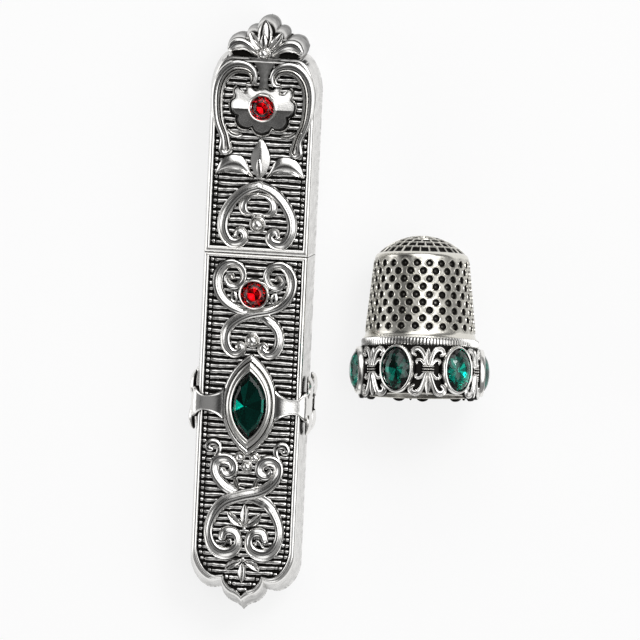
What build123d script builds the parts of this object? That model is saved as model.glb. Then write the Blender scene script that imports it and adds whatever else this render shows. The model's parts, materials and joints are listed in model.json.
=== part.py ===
"""Ornate box-section needle case with a pull-off cap, and its matching thimble beside it.

The case lies on its back. X runs across it, Y along it towards the cap and Z up out of its front.
The origin is on the case's axis, in the plane where the cap meets the body. Sizes are in mm.
"""
from build123d import *
import os
from math import asin, atan2, cos, degrees, radians, sin, tau

# Case outline, at mid-depth where the front and back castings meet
case_half_width = 8.05
case_half_depth = 5.0
body_length = 52.15
cap_box_length = 28.9
side_flare = 0.65
foot_flare = 2.0
top_flare = 0.5
foot_corner_x = 4.6
foot_corner_height = 4.4
foot_corner_lift = 2.95
foot_cusp_x = 3.3
foot_cusp_lift = 3.15
foot_ogee_x = 1.5
foot_ogee_lift = 1.05
shoulder_x = 4.9
shoulder_height = 5.5

# Raised rim and sunk panels of both castings
rim_width = 0.72
panel_depth = 0.8
body_seam_land = 0.5
cap_seam_land = 1.0
seam_gap = 0.1

# Needle sleeve and the hollows around it
sleeve_half_width = 6.4
sleeve_half_depth = 3.3
sleeve_corner = 1.2
sleeve_wall = 0.4
sleeve_reach = 22.0
body_end_wall = 7.15
cap_end_wall = 2.0
body_hollow_depth = body_length - body_end_wall
cap_hollow_length = cap_box_length - cap_end_wall
cap_running_gap = 0.1

# Ornament heights above the panel ground, and band widths
scroll_height = 1.0
horseshoe_height = 1.2
rosette_height = 0.8
leaf_height = 0.9
sprig_height = 0.75
waist_frame_height = 1.3
waist_arm_height = 1.15
setting_height = 1.8
stone_drop = 0.05
stone_setback = 0.03
stone_foot_share = 0.5
stone_girdle_low = 0.35
stone_girdle_high = 0.5
stone_crown_rise = 0.85
stone_crown_share = 0.72
stone_table_share = 0.3
scroll_width = 1.15
large_scroll_width = 1.3
small_scroll_width = 0.55
horseshoe_width = 1.25
scroll_eye_radius = 1.0
large_scroll_eye_radius = 1.15
rosette_foot_radius = 1.5
rosette_core_radius = 2.9
rosette_lobe_radii = (1.75, 1.5, 1.6)
drop_half_width = 0.5
sprig_half_width = 0.55
sprig_side_half_width = 0.42
lance_half_width = 1.45
curl_end_share = 0.62
bead_seat_share = 0.45

# Places along the case, in hundredths of the body's or the cap's length from the seam
cap_bead_place = 15.225
cap_setting_place = 73.702
body_setting_place = 10.738
loop_bead_place = 23.873
waist_place = 41.515

# Round red stones
cap_setting_y = cap_box_length * cap_setting_place / 100
cap_stone_radius = 1.7
body_setting_y = -body_length * body_setting_place / 100
body_stone_radius = 1.85
round_collet_wall = 0.4
round_facets = 12

# Pointed oval green stone at the waist
waist_y = -body_length * waist_place / 100
waist_stone_half_width = 2.5
waist_stone_half_length = 4.9
waist_collet_wall = 0.85
waist_collet_tip = 1.5
waist_frame_wall = 0.7
waist_frame_tip = 1.0
waist_arm_half_height = 1.15
waist_arm_flare = 0.85
waist_arm_tip_flare = 0.2
waist_arm_root_inset = 0.6
waist_arm_neck_share = 0.68
waist_side_stand = 0.85
waist_leaf_reach = 5.1
waist_leaf_root = 1.5
waist_girdle_corners = 6

# Beads
cap_bead_y = cap_box_length * cap_bead_place / 100
cap_bead_radius = 1.05
loop_bead_y = -body_length * loop_bead_place / 100
loop_bead_radius = 0.95
waist_bead_radius = 0.68
waist_bead_spread = 1.05
waist_bead_gap = 0.25
waist_frame_half_length = waist_stone_half_length + waist_collet_tip + waist_frame_tip
waist_bead_y = waist_y - waist_frame_half_length - waist_bead_gap
waist_bead_drop = 1.35

# Finial: lobes given as centre x, centre y above the cap's box, radius
finial_half_depth = 4.4
finial_flare = 0.4
palmette_height = 0.65
palmette_leaf_width = 0.85
finial_lobes = ((0.0, 3.75, 1.5), (1.9, 2.7, 1.1), (4.0, 0.8, 1.7))
finial_bead_radius = 0.9
finial_bead_lift = 0.2
finial_bead_seat = 0.25

# Thimble
thimble_shoulder_height = 20.5
thimble_dome_rise = 2.25
thimble_shoulder_radius = 6.7
thimble_cone_radius = 7.7
thimble_wall = 0.75
thimble_lip_height = 0.7
thimble_shoulder_drop = 0.4
thimble_dome_inset = 0.45
thimble_dome_lift = 0.15
fleur_thickness = 0.5
fleur_stem_width = 0.5
fleur_stem_length = 5.2
fleur_tie_width = 1.6
fleur_tie_height = 1.15
fleur_leaf_width = 0.52
fleur_curl_width = 0.4
thimble_stone_count = 6
thimble_stone_half_width = 2.15
thimble_stone_half_height = 3.05
thimble_collet_wall = 0.4
thimble_collet_stand = 1.05
thimble_crown_stand = 2.0
thimble_stone_facets = 16
thimble_girdle_rise = 0.84
thimble_girdle_thickness = 0.25
thimble_crown_rise = 0.6
thimble_table_share = 0.4
setting_root = 1.5
rim_notch_radius = 0.5
rim_notch_angles = (-14, 0, 14)

# The thimble's band stands out from the cone, and is as high as its settings need
thimble_band_step = 0.45
thimble_band_margin = 0.15
thimble_stone_lift = 0.2
thimble_lip_rise = 2.0
bead_ring_section = 0.62
bead_ring_lift = 0.65
bead_ring_stand = 0.3
thimble_band_radius = thimble_cone_radius + thimble_band_step
thimble_band_height = 2 * (thimble_stone_half_height + thimble_collet_wall + thimble_band_margin)
thimble_cone_foot = thimble_band_height + thimble_lip_rise
thimble_stone_height = thimble_band_height / 2 + thimble_stone_lift
thimble_crown_radius = thimble_band_radius + thimble_crown_stand
bead_ring_height = thimble_band_height + bead_ring_lift
bead_ring_radius = thimble_band_radius + bead_ring_stand

# Place of the thimble, lying on its side with its dome towards +Y
thimble_x = 24.3
thimble_rim_y = -19.3
thimble_yaw = 2.3
thimble_turn = 16.5

ground = case_half_depth - panel_depth
floor = -(ground + setting_height)
beyond = 20.0


def mirrored_outline(edges):
    """Close a right-hand half outline with its mirror image into one face."""
    return make_face(edges + [mirror(edge, about=Plane.YZ) for edge in edges])


def body_outline(top=0.0, side_inset=0.0, end_inset=0.0):
    """Body outline: straight sides, two corner lobes, and an ogee to the point."""
    across = (case_half_width - side_inset) / case_half_width
    along = (body_length - end_inset) / body_length

    def at(x, lift):
        return (x * across, (lift - body_length) * along)

    corner_start = at(case_half_width, foot_corner_lift + foot_corner_height)
    corner_end = at(foot_corner_x, foot_corner_lift)
    cusp = at(foot_cusp_x, foot_cusp_lift)
    ogee = at(foot_ogee_x, foot_ogee_lift)
    tip = at(0.0, 0.0)
    return mirrored_outline([
        Line((0.0, top), (corner_start[0], top)),
        Line((corner_start[0], top), corner_start),
        Spline(corner_start, corner_end, tangents=((0, -1), (-1, 0))),
        Line(corner_end, cusp),
        Spline(cusp, ogee, tangents=((-0.1, -1), (-1, -0.3))),
        Spline(ogee, tip, tangents=((-1, -0.3), (-0.7, -1))),
    ])


def cap_outline(bottom=0.0, side_inset=0.0, end_inset=0.0):
    """Cap outline: straight sides and rounded shoulders under a flat top."""
    across = (case_half_width - side_inset) / case_half_width
    along = (cap_box_length - end_inset) / cap_box_length
    side = case_half_width * across
    shoulder_start = (side, (cap_box_length - shoulder_height) * along)
    shoulder_end = (shoulder_x * across, cap_box_length * along)
    return mirrored_outline([
        Line((0.0, bottom), (side, bottom)),
        Line((side, bottom), shoulder_start),
        Spline(shoulder_start, shoulder_end, tangents=((0, 1), (-1, 0))),
        Line(shoulder_end, (0.0, shoulder_end[1])),
    ])


def front_casting(outline, seam, land, end_flare):
    """Half of the case in front of mid-depth: flared walls round a solid, with the panel sunk."""
    middle = outline(seam)
    rim = Pos(0, 0, case_half_depth) * outline(seam, side_flare, end_flare)
    solid = loft([middle, rim], ruled=True)
    panel = outline(land, side_flare + rim_width, end_flare + rim_width)
    return solid - extrude(Pos(0, 0, ground) * panel, beyond)


def sleeve_prism(start, end, growth):
    """Rounded-rectangle prism along Y, larger than the sleeve by growth all round."""
    section = RectangleRounded(
        2 * (sleeve_half_width + growth), 2 * (sleeve_half_depth + growth), sleeve_corner + growth)
    return extrude(Pos(0, start, 0) * (Rot(-90, 0, 0) * section), end - start, dir=(0, 1, 0))


def plate(sketch, height):
    """Flat ornament standing on the panel ground."""
    return extrude(Pos(0, 0, ground) * sketch, height, dir=(0, 0, 1))


def band(points, width):
    """Scroll band: a smooth curve through the points, given its width, with a round end."""
    return trace(Spline(*points), width) + Pos(*points[-1]) * Circle(width * curl_end_share)


def both(sketch):
    """A sketch and its mirror image across the case's axis."""
    return sketch + mirror(sketch, about=Plane.YZ)


def lens(start, end, half_width):
    """Leaf outline: two arcs from start to end."""
    run = Vector(*end) - Vector(*start)
    middle = (Vector(*start) + Vector(*end)) * 0.5
    side = Vector(-run.Y, run.X).normalized() * half_width
    return make_face([
        ThreePointArc(start, middle + side, end),
        ThreePointArc(end, middle - side, start),
    ])


def pointed_oval(half_width, half_length):
    """Pointed oval about the waist stone's centre: two arcs meeting at its tips."""
    return Pos(0, waist_y) * make_face([
        ThreePointArc((0, half_length), (half_width, 0), (0, -half_length)),
        ThreePointArc((0, -half_length), (-half_width, 0), (0, half_length)),
    ])


def on_body(*points):
    """Points of body ornament, drawn in hundredths of the half width and of the body's length."""
    return [(case_half_width * x / 100, body_length * y / 100) for x, y in points]


def on_cap(*points):
    """Points of cap ornament, drawn in hundredths of the half width and of the cap's length."""
    return [(case_half_width * x / 100, cap_box_length * y / 100) for x, y in points]


def volute(centre, radii, hand):
    """Points on a spiral that starts under its centre, with the radius after each quarter turn.

    The angle falls from 270 degrees; hand is 1 for a right-hand volute and -1 for its mirror.
    """
    angles = [radians(270 - 90 * quarter) for quarter in range(len(radii))]
    return [(centre[0] + hand * radius * cos(angle), centre[1] + radius * sin(angle))
            for angle, radius in zip(angles, radii)]


def bead(x, y, radius):
    """Ball soldered on the ground: a full ball cut flat where it sits."""
    ball = Pos(x, y, ground + radius * bead_seat_share) * Sphere(radius)
    return split(ball, Plane.XY.offset(ground), keep=Keep.TOP)


def cut_stone(outline_points, levels):
    """Faceted stone: the outline scaled to each level's share, joined by flat facets.

    levels holds pairs of height and scale, from the pavilion up to the table.
    """
    sections = [Pos(0, 0, height) * Polygon(*[(x * share, y * share) for x, y in outline_points], align=None)
                for height, share in levels]
    return loft(sections, ruled=True)


def oval_points(half_width, half_height, count):
    """Corners of a faceted oval girdle."""
    return [(half_width * cos(tau * k / count), half_height * sin(tau * k / count)) for k in range(count)]


def pointed_oval_points(half_width, half_length, per_side):
    """Corners of a faceted pointed-oval girdle, evenly spaced along both arcs."""
    arc_radius = (half_width ** 2 + half_length ** 2) / (2 * half_width)
    sweep = asin(half_length / arc_radius)
    offset = arc_radius - half_width
    steps = [sweep * (1 - 2 * k / per_side) for k in range(per_side)]
    right = [(arc_radius * cos(a) - offset, arc_radius * sin(a)) for a in steps]
    return right + [(-x, -y) for x, y in right]


def stone_levels():
    """Pavilion, girdle and table of a stone set on the panel, as height and scale."""
    table = ground + setting_height - stone_drop
    return (
        (ground, stone_foot_share),
        (ground + stone_girdle_low * setting_height, 1.0),
        (ground + stone_girdle_high * setting_height, 1.0),
        (ground + stone_crown_rise * setting_height, stone_crown_share),
        (table, stone_table_share),
    )


def round_setting(y, stone_radius):
    """Collet and faceted stone of one round red setting."""
    ring = Pos(0, y) * (Circle(stone_radius + round_collet_wall) - Circle(stone_radius))
    girdle = oval_points(stone_radius - stone_setback, stone_radius - stone_setback, round_facets)
    return plate(ring, setting_height), Pos(0, y, 0) * cut_stone(girdle, stone_levels())


def body_volute_band(hand):
    """Band of the upper scroll: volute under the seam, across the axis, and into a lower loop."""
    eye, *tail = on_body(
        (38.5, -7.1), (59.0, -12.5), (32.3, -15.0), (0.0, -16.3), (-32.3, -18.0), (-50.9, -21.1),
        (-53.4, -24.5), (-44.7, -27.0), (-30.4, -27.8), (-20.5, -26.3))
    start = volute((hand * eye[0], eye[1]), (1.1, 1.6, 2.3, 2.6), hand)
    return band(start + [(hand * x, y) for x, y in tail], scroll_width)


def body_upper_scroll():
    """Both crossing bands, their eyes, and the two drops beside the red stone."""
    eye, drop_foot, drop_tip = on_body((38.5, -7.1), (33.5, -13.4), (37.3, -10.0))
    eyes = both(Pos(*eye) * Circle(scroll_eye_radius))
    drops = both(lens(drop_foot, drop_tip, drop_half_width))
    return body_volute_band(1) + body_volute_band(-1) + eyes + drops


def lower_volute_band(hand):
    """Band of the lower scroll: large volute, across the axis, round a loop, and a curl inside it."""
    eye, *tail = on_body(
        (37.3, -59.6), (53.4, -63.9), (32.3, -65.8), (0.0, -66.7), (-32.3, -67.9), (-57.1, -70.9),
        (-66.5, -75.9), (-60.9, -80.3), (-48.4, -83.0), (-31.1, -84.1), (-14.9, -82.8), (-8.1, -80.2),
        (-13.7, -77.7), (-27.3, -76.5), (-38.5, -77.7))
    start = volute((hand * eye[0], eye[1]), (0.95, 1.35, 1.75, 2.1), hand)
    return band(start + [(hand * x, y) for x, y in tail], large_scroll_width)


def body_lower_scroll():
    """Both crossing bands, their eyes, and the small curls above the volutes."""
    eye, *curl = on_body((37.3, -59.6), (55.9, -56.4), (55.3, -54.7), (64.6, -53.5), (71.4, -54.5))
    eyes = both(Pos(*eye) * Circle(large_scroll_eye_radius))
    curls = both(band(curl, small_scroll_width))
    return lower_volute_band(1) + lower_volute_band(-1) + eyes + curls


def sprigs():
    """Three-leaf sprigs: one standing in the lower loops and one hanging under them."""
    rising = on_body((0.0, -75.6), (0.0, -69.4), (3.1, -75.4), (29.8, -71.7))
    hanging = on_body((0.0, -85.5), (0.0, -90.5), (3.1, -85.3), (31.1, -87.6))
    leaves = [lens(foot, tip, sprig_half_width) + both(lens(side_foot, side_tip, sprig_side_half_width))
              for foot, tip, side_foot, side_tip in (rising, hanging)]
    return leaves[0] + leaves[1]


def heart_scroll():
    """Turned-over heart with curled ends, and the small arch inside it."""
    heart = both(band(on_cap(
        (0.0, 34.9), (29.8, 30.8), (54.7, 23.9), (65.8, 16.3), (63.4, 10.0), (50.9, 6.1), (36.0, 5.7),
        (26.1, 8.7), (30.4, 11.8)), scroll_width))
    arch = Spline(*on_cap((0.0, 32.0), (17.4, 30.3), (23.6, 25.6), (14.9, 21.5)))
    return heart + both(trace(arch, small_scroll_width))


def horseshoe():
    """Band round the cap's shoulders, with flared feet and ends curled in over the rosette."""
    return both(band(on_cap(
        (62.1, 54.3), (66.5, 59.9), (77.0, 67.8), (83.2, 76.1), (82.6, 84.1), (72.0, 91.0), (52.2, 94.3),
        (31.1, 93.8), (16.8, 90.3), (17.4, 86.2)), horseshoe_width))


def rosette():
    """Six-lobed plate round the cap's red stone."""
    lobes = on_cap((38.5, 74.0), (31.1, 79.2), (29.8, 66.4))
    side, upper, lower = (Pos(*lobe) * Circle(radius) for lobe, radius in zip(lobes, rosette_lobe_radii))
    foot = Pos(*on_cap((0.0, 64.0))[0]) * Circle(rosette_foot_radius)
    return both(side + upper + lower) + foot + Pos(0, cap_setting_y) * Circle(rosette_core_radius)


def cap_leaves():
    """Upright lance leaf between two broad side leaves."""
    outer, brow, crest, bend, inner, hollow, foot, tip = on_cap(
        (80.1, 39.8), (74.5, 44.6), (53.4, 48.4), (31.1, 46.7), (11.2, 39.1), (42.2, 41.3),
        (0.0, 37.2), (0.0, 58.3))
    side_leaf = make_face([
        Spline(outer, brow, crest, bend, inner),
        Spline(inner, hollow, outer),
    ])
    return lens(foot, tip, lance_half_width) + both(side_leaf)


def waist_mount(casting):
    """Pointed-oval frame whose arms cross the rim and end in leaf scrolls on the sides."""
    collet_half_width = waist_stone_half_width + waist_collet_wall
    collet_half_length = waist_stone_half_length + waist_collet_tip
    collet = pointed_oval(collet_half_width, collet_half_length)
    frame_half_width = collet_half_width + waist_frame_wall
    frame_face = pointed_oval(frame_half_width, waist_frame_half_length)
    root = (frame_half_width - waist_arm_root_inset, waist_arm_half_height + waist_arm_flare)
    neck = (case_half_width * waist_arm_neck_share, waist_arm_half_height)
    end = (case_half_width + waist_side_stand, waist_arm_half_height + waist_arm_tip_flare)
    arm = Pos(0, waist_y) * make_face([
        Spline(root, neck, end),
        Line(end, (end[0], -end[1])),
        Spline((end[0], -end[1]), (neck[0], -neck[1]), (root[0], -root[1])),
        Line((root[0], -root[1]), root),
    ])
    bridge = plate(both(arm), waist_arm_height)
    leaf_profile = make_face([
        Spline((0, case_half_depth), (2.4, 4.2), (waist_leaf_reach, 2.6), (4.0, 0.9), (2.0, 1.2), (0, 0.4)),
        Line((0, 0.4), (0, case_half_depth)),
    ])
    leaf_inside = case_half_width - waist_leaf_root
    leaf_plane = Plane(origin=(leaf_inside, waist_y, 0), x_dir=(0, 1, 0), z_dir=(1, 0, 0))
    leaf_run = case_half_width + waist_side_stand - leaf_inside
    leaf = extrude(leaf_plane * leaf_profile, leaf_run)
    leaf += mirror(leaf, about=Plane.XZ.offset(-waist_y))
    leaves = leaf + mirror(leaf, about=Plane.YZ)
    solid_case = loft([body_outline(), Pos(0, 0, case_half_depth) * body_outline(0, side_flare, foot_flare)],
                      ruled=True)
    wraps = (bridge + leaves) - extrude(body_outline(), ground)
    panel_width = 2 * (case_half_width - side_flare - rim_width)
    inner = extrude(Pos(0, waist_y, ground) * Rectangle(panel_width, 2 * beyond), beyond)
    wraps = (wraps & inner) + ((bridge + leaves) - inner - solid_case)
    return (plate(frame_face, waist_frame_height) + wraps) - casting - plate(collet, beyond)


def finial_block(castings):
    """Lobed block on the cap's top, flared towards mid-depth, and hollowed to sit on the castings."""
    block = None
    for x, lift, radius in finial_lobes:
        lobe = Pos(x, cap_box_length + lift, finial_half_depth / 2) * Cone(
            radius, radius - finial_flare, finial_half_depth)
        lobe += mirror(lobe, about=Plane.YZ)
        block = lobe if block is None else block + lobe
    heart = Polygon((0, -0.6), (4.2, -0.6), (4.6, 0.4), (4.0, 1.2), (1.6, 3.0), (0, 3.6), align=None)
    block += extrude(Pos(0, cap_box_length) * both(heart), finial_half_depth, dir=(0, 0, 1))
    block += mirror(block, about=Plane.XY)
    for casting in castings:
        block -= casting
    return block


def palmette(casting):
    """Five-leaf palmette with a bead at its foot, standing on the finial's front."""
    foot = cap_box_length + finial_bead_lift
    leaves = lens((0, foot + 0.7), (0, foot + 4.75), 0.72)
    leaves += both(lens((0.45, foot + 0.8), (2.35, foot + 3.35), 0.48))
    outer_leaf = Spline((0.6, foot + 0.2), (2.2, foot + 1.2), (3.7, foot + 1.55), (4.8, foot + 0.9))
    leaves += both(trace(outer_leaf, palmette_leaf_width))
    relief = extrude(Pos(0, 0, finial_half_depth) * leaves, palmette_height, dir=(0, 0, 1))
    ball = Pos(0, foot, finial_half_depth + finial_bead_seat) * Sphere(finial_bead_radius)
    return relief + split(ball, Plane.XY.offset(finial_half_depth), keep=Keep.TOP) - casting


def dome_arc(edge_radius, edge_height, top):
    """Arc of a sphere from the dome's edge up to its top, in the X-Y plane."""
    rise = top - edge_height
    sphere_radius = (edge_radius ** 2 + rise ** 2) / (2 * rise)
    half_angle = asin(edge_radius / sphere_radius) / 2
    middle = (sphere_radius * sin(half_angle), top - sphere_radius * (1 - cos(half_angle)))
    return ThreePointArc((edge_radius, edge_height), middle, (0, top))


def thimble_shell():
    """Turned thimble: straight band, flared lip, tapering side and domed top, open at the rim."""
    top = thimble_shoulder_height + thimble_dome_rise
    shoulder = (thimble_shoulder_radius, thimble_shoulder_height - thimble_shoulder_drop)
    dome_edge = (thimble_shoulder_radius - thimble_dome_inset, thimble_shoulder_height + thimble_dome_lift)
    inner_shoulder = (shoulder[0] - thimble_wall, shoulder[1] - thimble_wall / 2)
    lip_foot = thimble_cone_foot - thimble_lip_height
    outer = [
        Line((thimble_band_radius - thimble_wall, 0), (thimble_band_radius, 0)),
        Line((thimble_band_radius, 0), (thimble_band_radius, lip_foot)),
        Line((thimble_band_radius, lip_foot), (thimble_cone_radius, thimble_cone_foot)),
        Line((thimble_cone_radius, thimble_cone_foot), shoulder),
        Line(shoulder, dome_edge),
        dome_arc(*dome_edge, top),
    ]
    inner = [
        Line((0, top), (0, top - thimble_wall)),
        dome_arc(*inner_shoulder, top - thimble_wall),
        Line(inner_shoulder, (thimble_cone_radius - thimble_wall, thimble_cone_foot)),
        Line((thimble_cone_radius - thimble_wall, thimble_cone_foot),
             (thimble_band_radius - thimble_wall, 0)),
    ]
    profile = Plane.XZ * make_face(outer + inner)
    shell = revolve(profile, Axis.Z)
    spacing = 360 / thimble_stone_count
    for k in range(thimble_stone_count):
        for side in rim_notch_angles:
            notch = Cylinder(rim_notch_radius, beyond, rotation=(0, 90, 0))
            shell -= Rot(0, 0, (k + 0.5) * spacing + side) * Pos(beyond / 2, 0, 0) * notch
    return shell


def bead_ring(shell):
    """Round-section ring over the band's top."""
    section = Pos(bead_ring_radius - bead_ring_section, bead_ring_height) * Circle(bead_ring_section)
    return revolve(Plane.XZ * section, Axis.Z) - shell


def fleur():
    """Double-ended fleur-de-lis with a tie, flat on the band's plane: x runs round, y up the band."""
    stem = Rectangle(fleur_stem_width, fleur_stem_length)
    tie = Rectangle(fleur_tie_width, fleur_tie_height)
    upper = (band([(0.15, 0.7), (0.55, 2.2), (1.25, 2.95), (1.9, 2.3)], fleur_leaf_width)
             + band([(0.35, 0.5), (0.8, 1.35), (1.45, 1.15)], fleur_curl_width))
    lower = (band([(0.15, -0.7), (0.6, -2.2), (1.35, -3.1), (2.0, -2.5)], fleur_leaf_width)
             + band([(0.35, -0.5), (0.85, -1.4), (1.5, -1.1)], fleur_curl_width))
    return Pos(0, thimble_stone_height) * (stem + tie + both(upper + lower))


def radial(sketch, start, length):
    """Extrude a band sketch outwards along local +X from the given radius."""
    side = Plane(origin=(start, 0, 0), x_dir=(0, 1, 0), z_dir=(1, 0, 0))
    return extrude(side * sketch, length)


def thimble_setting():
    """Oval collet and faceted green stone, facing local +X."""
    core = Cylinder(thimble_band_radius, 3 * thimble_band_height)
    stone_face = Pos(0, thimble_stone_height) * Ellipse(thimble_stone_half_width, thimble_stone_half_height)
    collet_face = Pos(0, thimble_stone_height) * Ellipse(
        thimble_stone_half_width + thimble_collet_wall, thimble_stone_half_height + thimble_collet_wall)
    collet_length = thimble_collet_stand + setting_root
    collet = radial(collet_face - stone_face, thimble_band_radius - setting_root, collet_length) - core
    girdle = oval_points(
        thimble_stone_half_width - stone_setback,
        thimble_stone_half_height - stone_setback,
        thimble_stone_facets)
    girdle_radius = thimble_band_radius + thimble_girdle_rise
    crown_radius = girdle_radius + thimble_crown_rise * (thimble_crown_radius - girdle_radius)
    levels = (
        (thimble_band_radius, stone_foot_share),
        (girdle_radius - thimble_girdle_thickness, 1.0),
        (girdle_radius, 1.0),
        (crown_radius, stone_crown_share),
        (thimble_crown_radius, thimble_table_share),
    )
    facing = Plane(origin=(0, 0, thimble_stone_height), x_dir=(0, 1, 0), z_dir=(1, 0, 0))
    return collet, facing * cut_stone(girdle, levels)


def thimble_nodes():
    """All the thimble's pieces, laid on their side on the floor beside the case."""
    shell = thimble_shell()
    ring = bead_ring(shell)
    collet, stone = thimble_setting()
    spacing = 360 / thimble_stone_count
    first = -90 - thimble_turn
    relief_ring = Cylinder(thimble_band_radius + fleur_thickness, 3 * thimble_band_height)
    relief_ring -= Cylinder(thimble_band_radius, 3 * thimble_band_height)
    one_fleur = (radial(fleur(), thimble_band_radius - setting_root, 2 * setting_root) & relief_ring) - ring
    fleurs = [Rot(0, 0, first + (k + 0.5) * spacing) * one_fleur
              for k in range(thimble_stone_count)]
    nodes = {
        "thimble_shell": Rot(0, 0, first) * shell,
        "thimble_bead_ring": ring,
        "thimble_fleurs": Compound(fleurs),
    }
    for k in range(thimble_stone_count):
        turn = Rot(0, 0, first + k * spacing)
        nodes[f"thimble_collet_{k + 1}"] = turn * collet
        nodes[f"thimble_stone_{k + 1}"] = turn * stone

    resting_radius = thimble_crown_radius * cos(radians(thimble_turn))
    run = thimble_shoulder_height - thimble_stone_height
    tilt = degrees(atan2(resting_radius - thimble_shoulder_radius, run))
    lay = Rot(0, 0, thimble_yaw) * Rot(-(90 + tilt), 0, 0)
    nodes = {name: lay * shape for name, shape in nodes.items()}
    lowest = min(shape.bounding_box().min.Z for shape in nodes.values())
    place = Pos(thimble_x, thimble_rim_y, floor - lowest)
    return {name: place * shape for name, shape in nodes.items()}


def case_nodes():
    """All the pieces of the case: those in front are mirrored to the back."""
    body_front = front_casting(body_outline, 0.0, -body_seam_land, foot_flare)
    body_front -= sleeve_prism(-body_hollow_depth, beyond, 0.0)
    cap_front = front_casting(cap_outline, seam_gap, cap_seam_land, top_flare)
    cap_front -= sleeve_prism(-beyond, cap_hollow_length, cap_running_gap)

    front = {}
    front["body_shell"] = body_front
    front["body_collet"], front["body_red_stone"] = round_setting(body_setting_y, body_stone_radius)
    front["waist_mount"] = waist_mount(body_front)
    waist_ring = pointed_oval(
        waist_stone_half_width + waist_collet_wall, waist_stone_half_length + waist_collet_tip)
    waist_ring -= pointed_oval(waist_stone_half_width, waist_stone_half_length)
    front["waist_collet"] = plate(waist_ring, setting_height)
    waist_girdle = pointed_oval_points(
        waist_stone_half_width - stone_setback,
        waist_stone_half_length - 2 * stone_setback,
        waist_girdle_corners)
    front["waist_green_stone"] = Pos(0, waist_y, 0) * cut_stone(waist_girdle, stone_levels())
    front["body_beads"] = (bead(0, loop_bead_y, loop_bead_radius)
                           + bead(waist_bead_spread, waist_bead_y, waist_bead_radius)
                           + bead(-waist_bead_spread, waist_bead_y, waist_bead_radius)
                           + bead(0, waist_bead_y - waist_bead_drop, waist_bead_radius))
    front["body_upper_scroll"] = plate(body_upper_scroll(), scroll_height)
    front["body_lower_scroll"] = plate(body_lower_scroll(), scroll_height)
    front["body_sprigs"] = plate(sprigs(), sprig_height)

    front["cap_shell"] = cap_front
    front["cap_collet"], front["cap_red_stone"] = round_setting(cap_setting_y, cap_stone_radius)
    front["cap_bead"] = bead(0, cap_bead_y, cap_bead_radius)
    front["cap_horseshoe"] = plate(horseshoe(), horseshoe_height) - cap_front
    front["cap_rosette"] = plate(rosette(), rosette_height)
    front["cap_leaves"] = plate(cap_leaves(), leaf_height)
    front["cap_heart_scroll"] = plate(heart_scroll(), scroll_height)

    cleared = {
        "body_upper_scroll": ("body_collet", "body_red_stone", "waist_mount", "body_beads"),
        "body_lower_scroll": ("waist_mount", "body_beads"),
        "body_sprigs": ("body_lower_scroll",),
        "cap_rosette": ("cap_collet", "cap_red_stone", "cap_horseshoe"),
        "cap_leaves": ("cap_rosette", "cap_horseshoe"),
        "cap_heart_scroll": ("cap_bead", "cap_leaves"),
    }
    for name, neighbours in cleared.items():
        for neighbour in neighbours:
            front[name] = front[name] - front[neighbour]

    nodes = {"needle_sleeve": sleeve_prism(-body_hollow_depth, sleeve_reach, 0.0)
             - sleeve_prism(-body_hollow_depth, sleeve_reach, -sleeve_wall)}
    nodes["cap_finial"] = finial_block([cap_front, mirror(cap_front, about=Plane.XY)])
    front["finial_palmette"] = palmette(cap_front)
    for name, shape in front.items():
        nodes[f"{name}_front"] = shape
        nodes[f"{name}_back"] = mirror(shape, about=Plane.XY)
    return nodes


def main():
    os.makedirs("parts", exist_ok=True)
    nodes = case_nodes() | thimble_nodes()
    for name, shape in nodes.items():
        export_step(shape, f"parts/{name}.step")
    print(len(nodes), "nodes written")


main()
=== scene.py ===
"""Ornate needle case and its matching thimble in antiqued silver with set glass stones.

Shapes are worked out in millimetres in the part's own frame: X across the case, Y along it towards
the cap, Z up out of its front, with the origin on the axis where the cap meets the body. A patch is
points, four-cornered faces, and the oxide_and_shade value at each point, from 0 where it is bright
to 1 where dark: dark patina in the metal's hollows, and painted shade on some pieces.
"""
import json

import bmesh
import bpy
import mathutils
import numpy as np
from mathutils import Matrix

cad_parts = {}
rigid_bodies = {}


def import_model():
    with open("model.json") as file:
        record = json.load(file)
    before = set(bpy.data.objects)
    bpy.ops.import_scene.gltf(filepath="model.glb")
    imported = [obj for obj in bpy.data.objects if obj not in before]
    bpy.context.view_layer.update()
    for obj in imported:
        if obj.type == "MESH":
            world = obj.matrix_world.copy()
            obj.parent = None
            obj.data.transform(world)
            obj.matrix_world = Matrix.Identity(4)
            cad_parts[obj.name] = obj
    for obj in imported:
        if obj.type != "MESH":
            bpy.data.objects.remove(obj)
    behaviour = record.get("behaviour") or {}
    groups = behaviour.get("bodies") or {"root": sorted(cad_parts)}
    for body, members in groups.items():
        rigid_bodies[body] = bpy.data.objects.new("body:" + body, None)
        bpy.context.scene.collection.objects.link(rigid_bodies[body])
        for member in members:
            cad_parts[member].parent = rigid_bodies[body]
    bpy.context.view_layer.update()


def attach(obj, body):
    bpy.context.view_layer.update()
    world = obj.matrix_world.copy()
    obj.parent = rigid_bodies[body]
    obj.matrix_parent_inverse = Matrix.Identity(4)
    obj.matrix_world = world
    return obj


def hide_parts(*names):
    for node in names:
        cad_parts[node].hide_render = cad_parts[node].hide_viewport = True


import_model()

MM = 0.001

# Case outline at mid-depth, and how much its front rim is drawn in
CASE_HALF_WIDTH = 8.05
BODY_LENGTH = 52.15
CAP_LENGTH = 28.9
SIDE_FLARE = 0.65
FOOT_FLARE = 2.0
TOP_FLARE = 0.5
RIM_WIDTH = 0.72
BODY_LAND = 0.5
CAP_LAND = 1.0
SEAM_GAP = 0.1
SEAM_COUNT = 60

# Heights off the middle plane, how far relief is sunk into what it stands on, and the waist's place
GROUND = 4.2
FINIAL_FRONT = 4.1
COLLET_HEIGHT = 1.8
SINK = 0.06
WAIST_Y = -21.65

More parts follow.
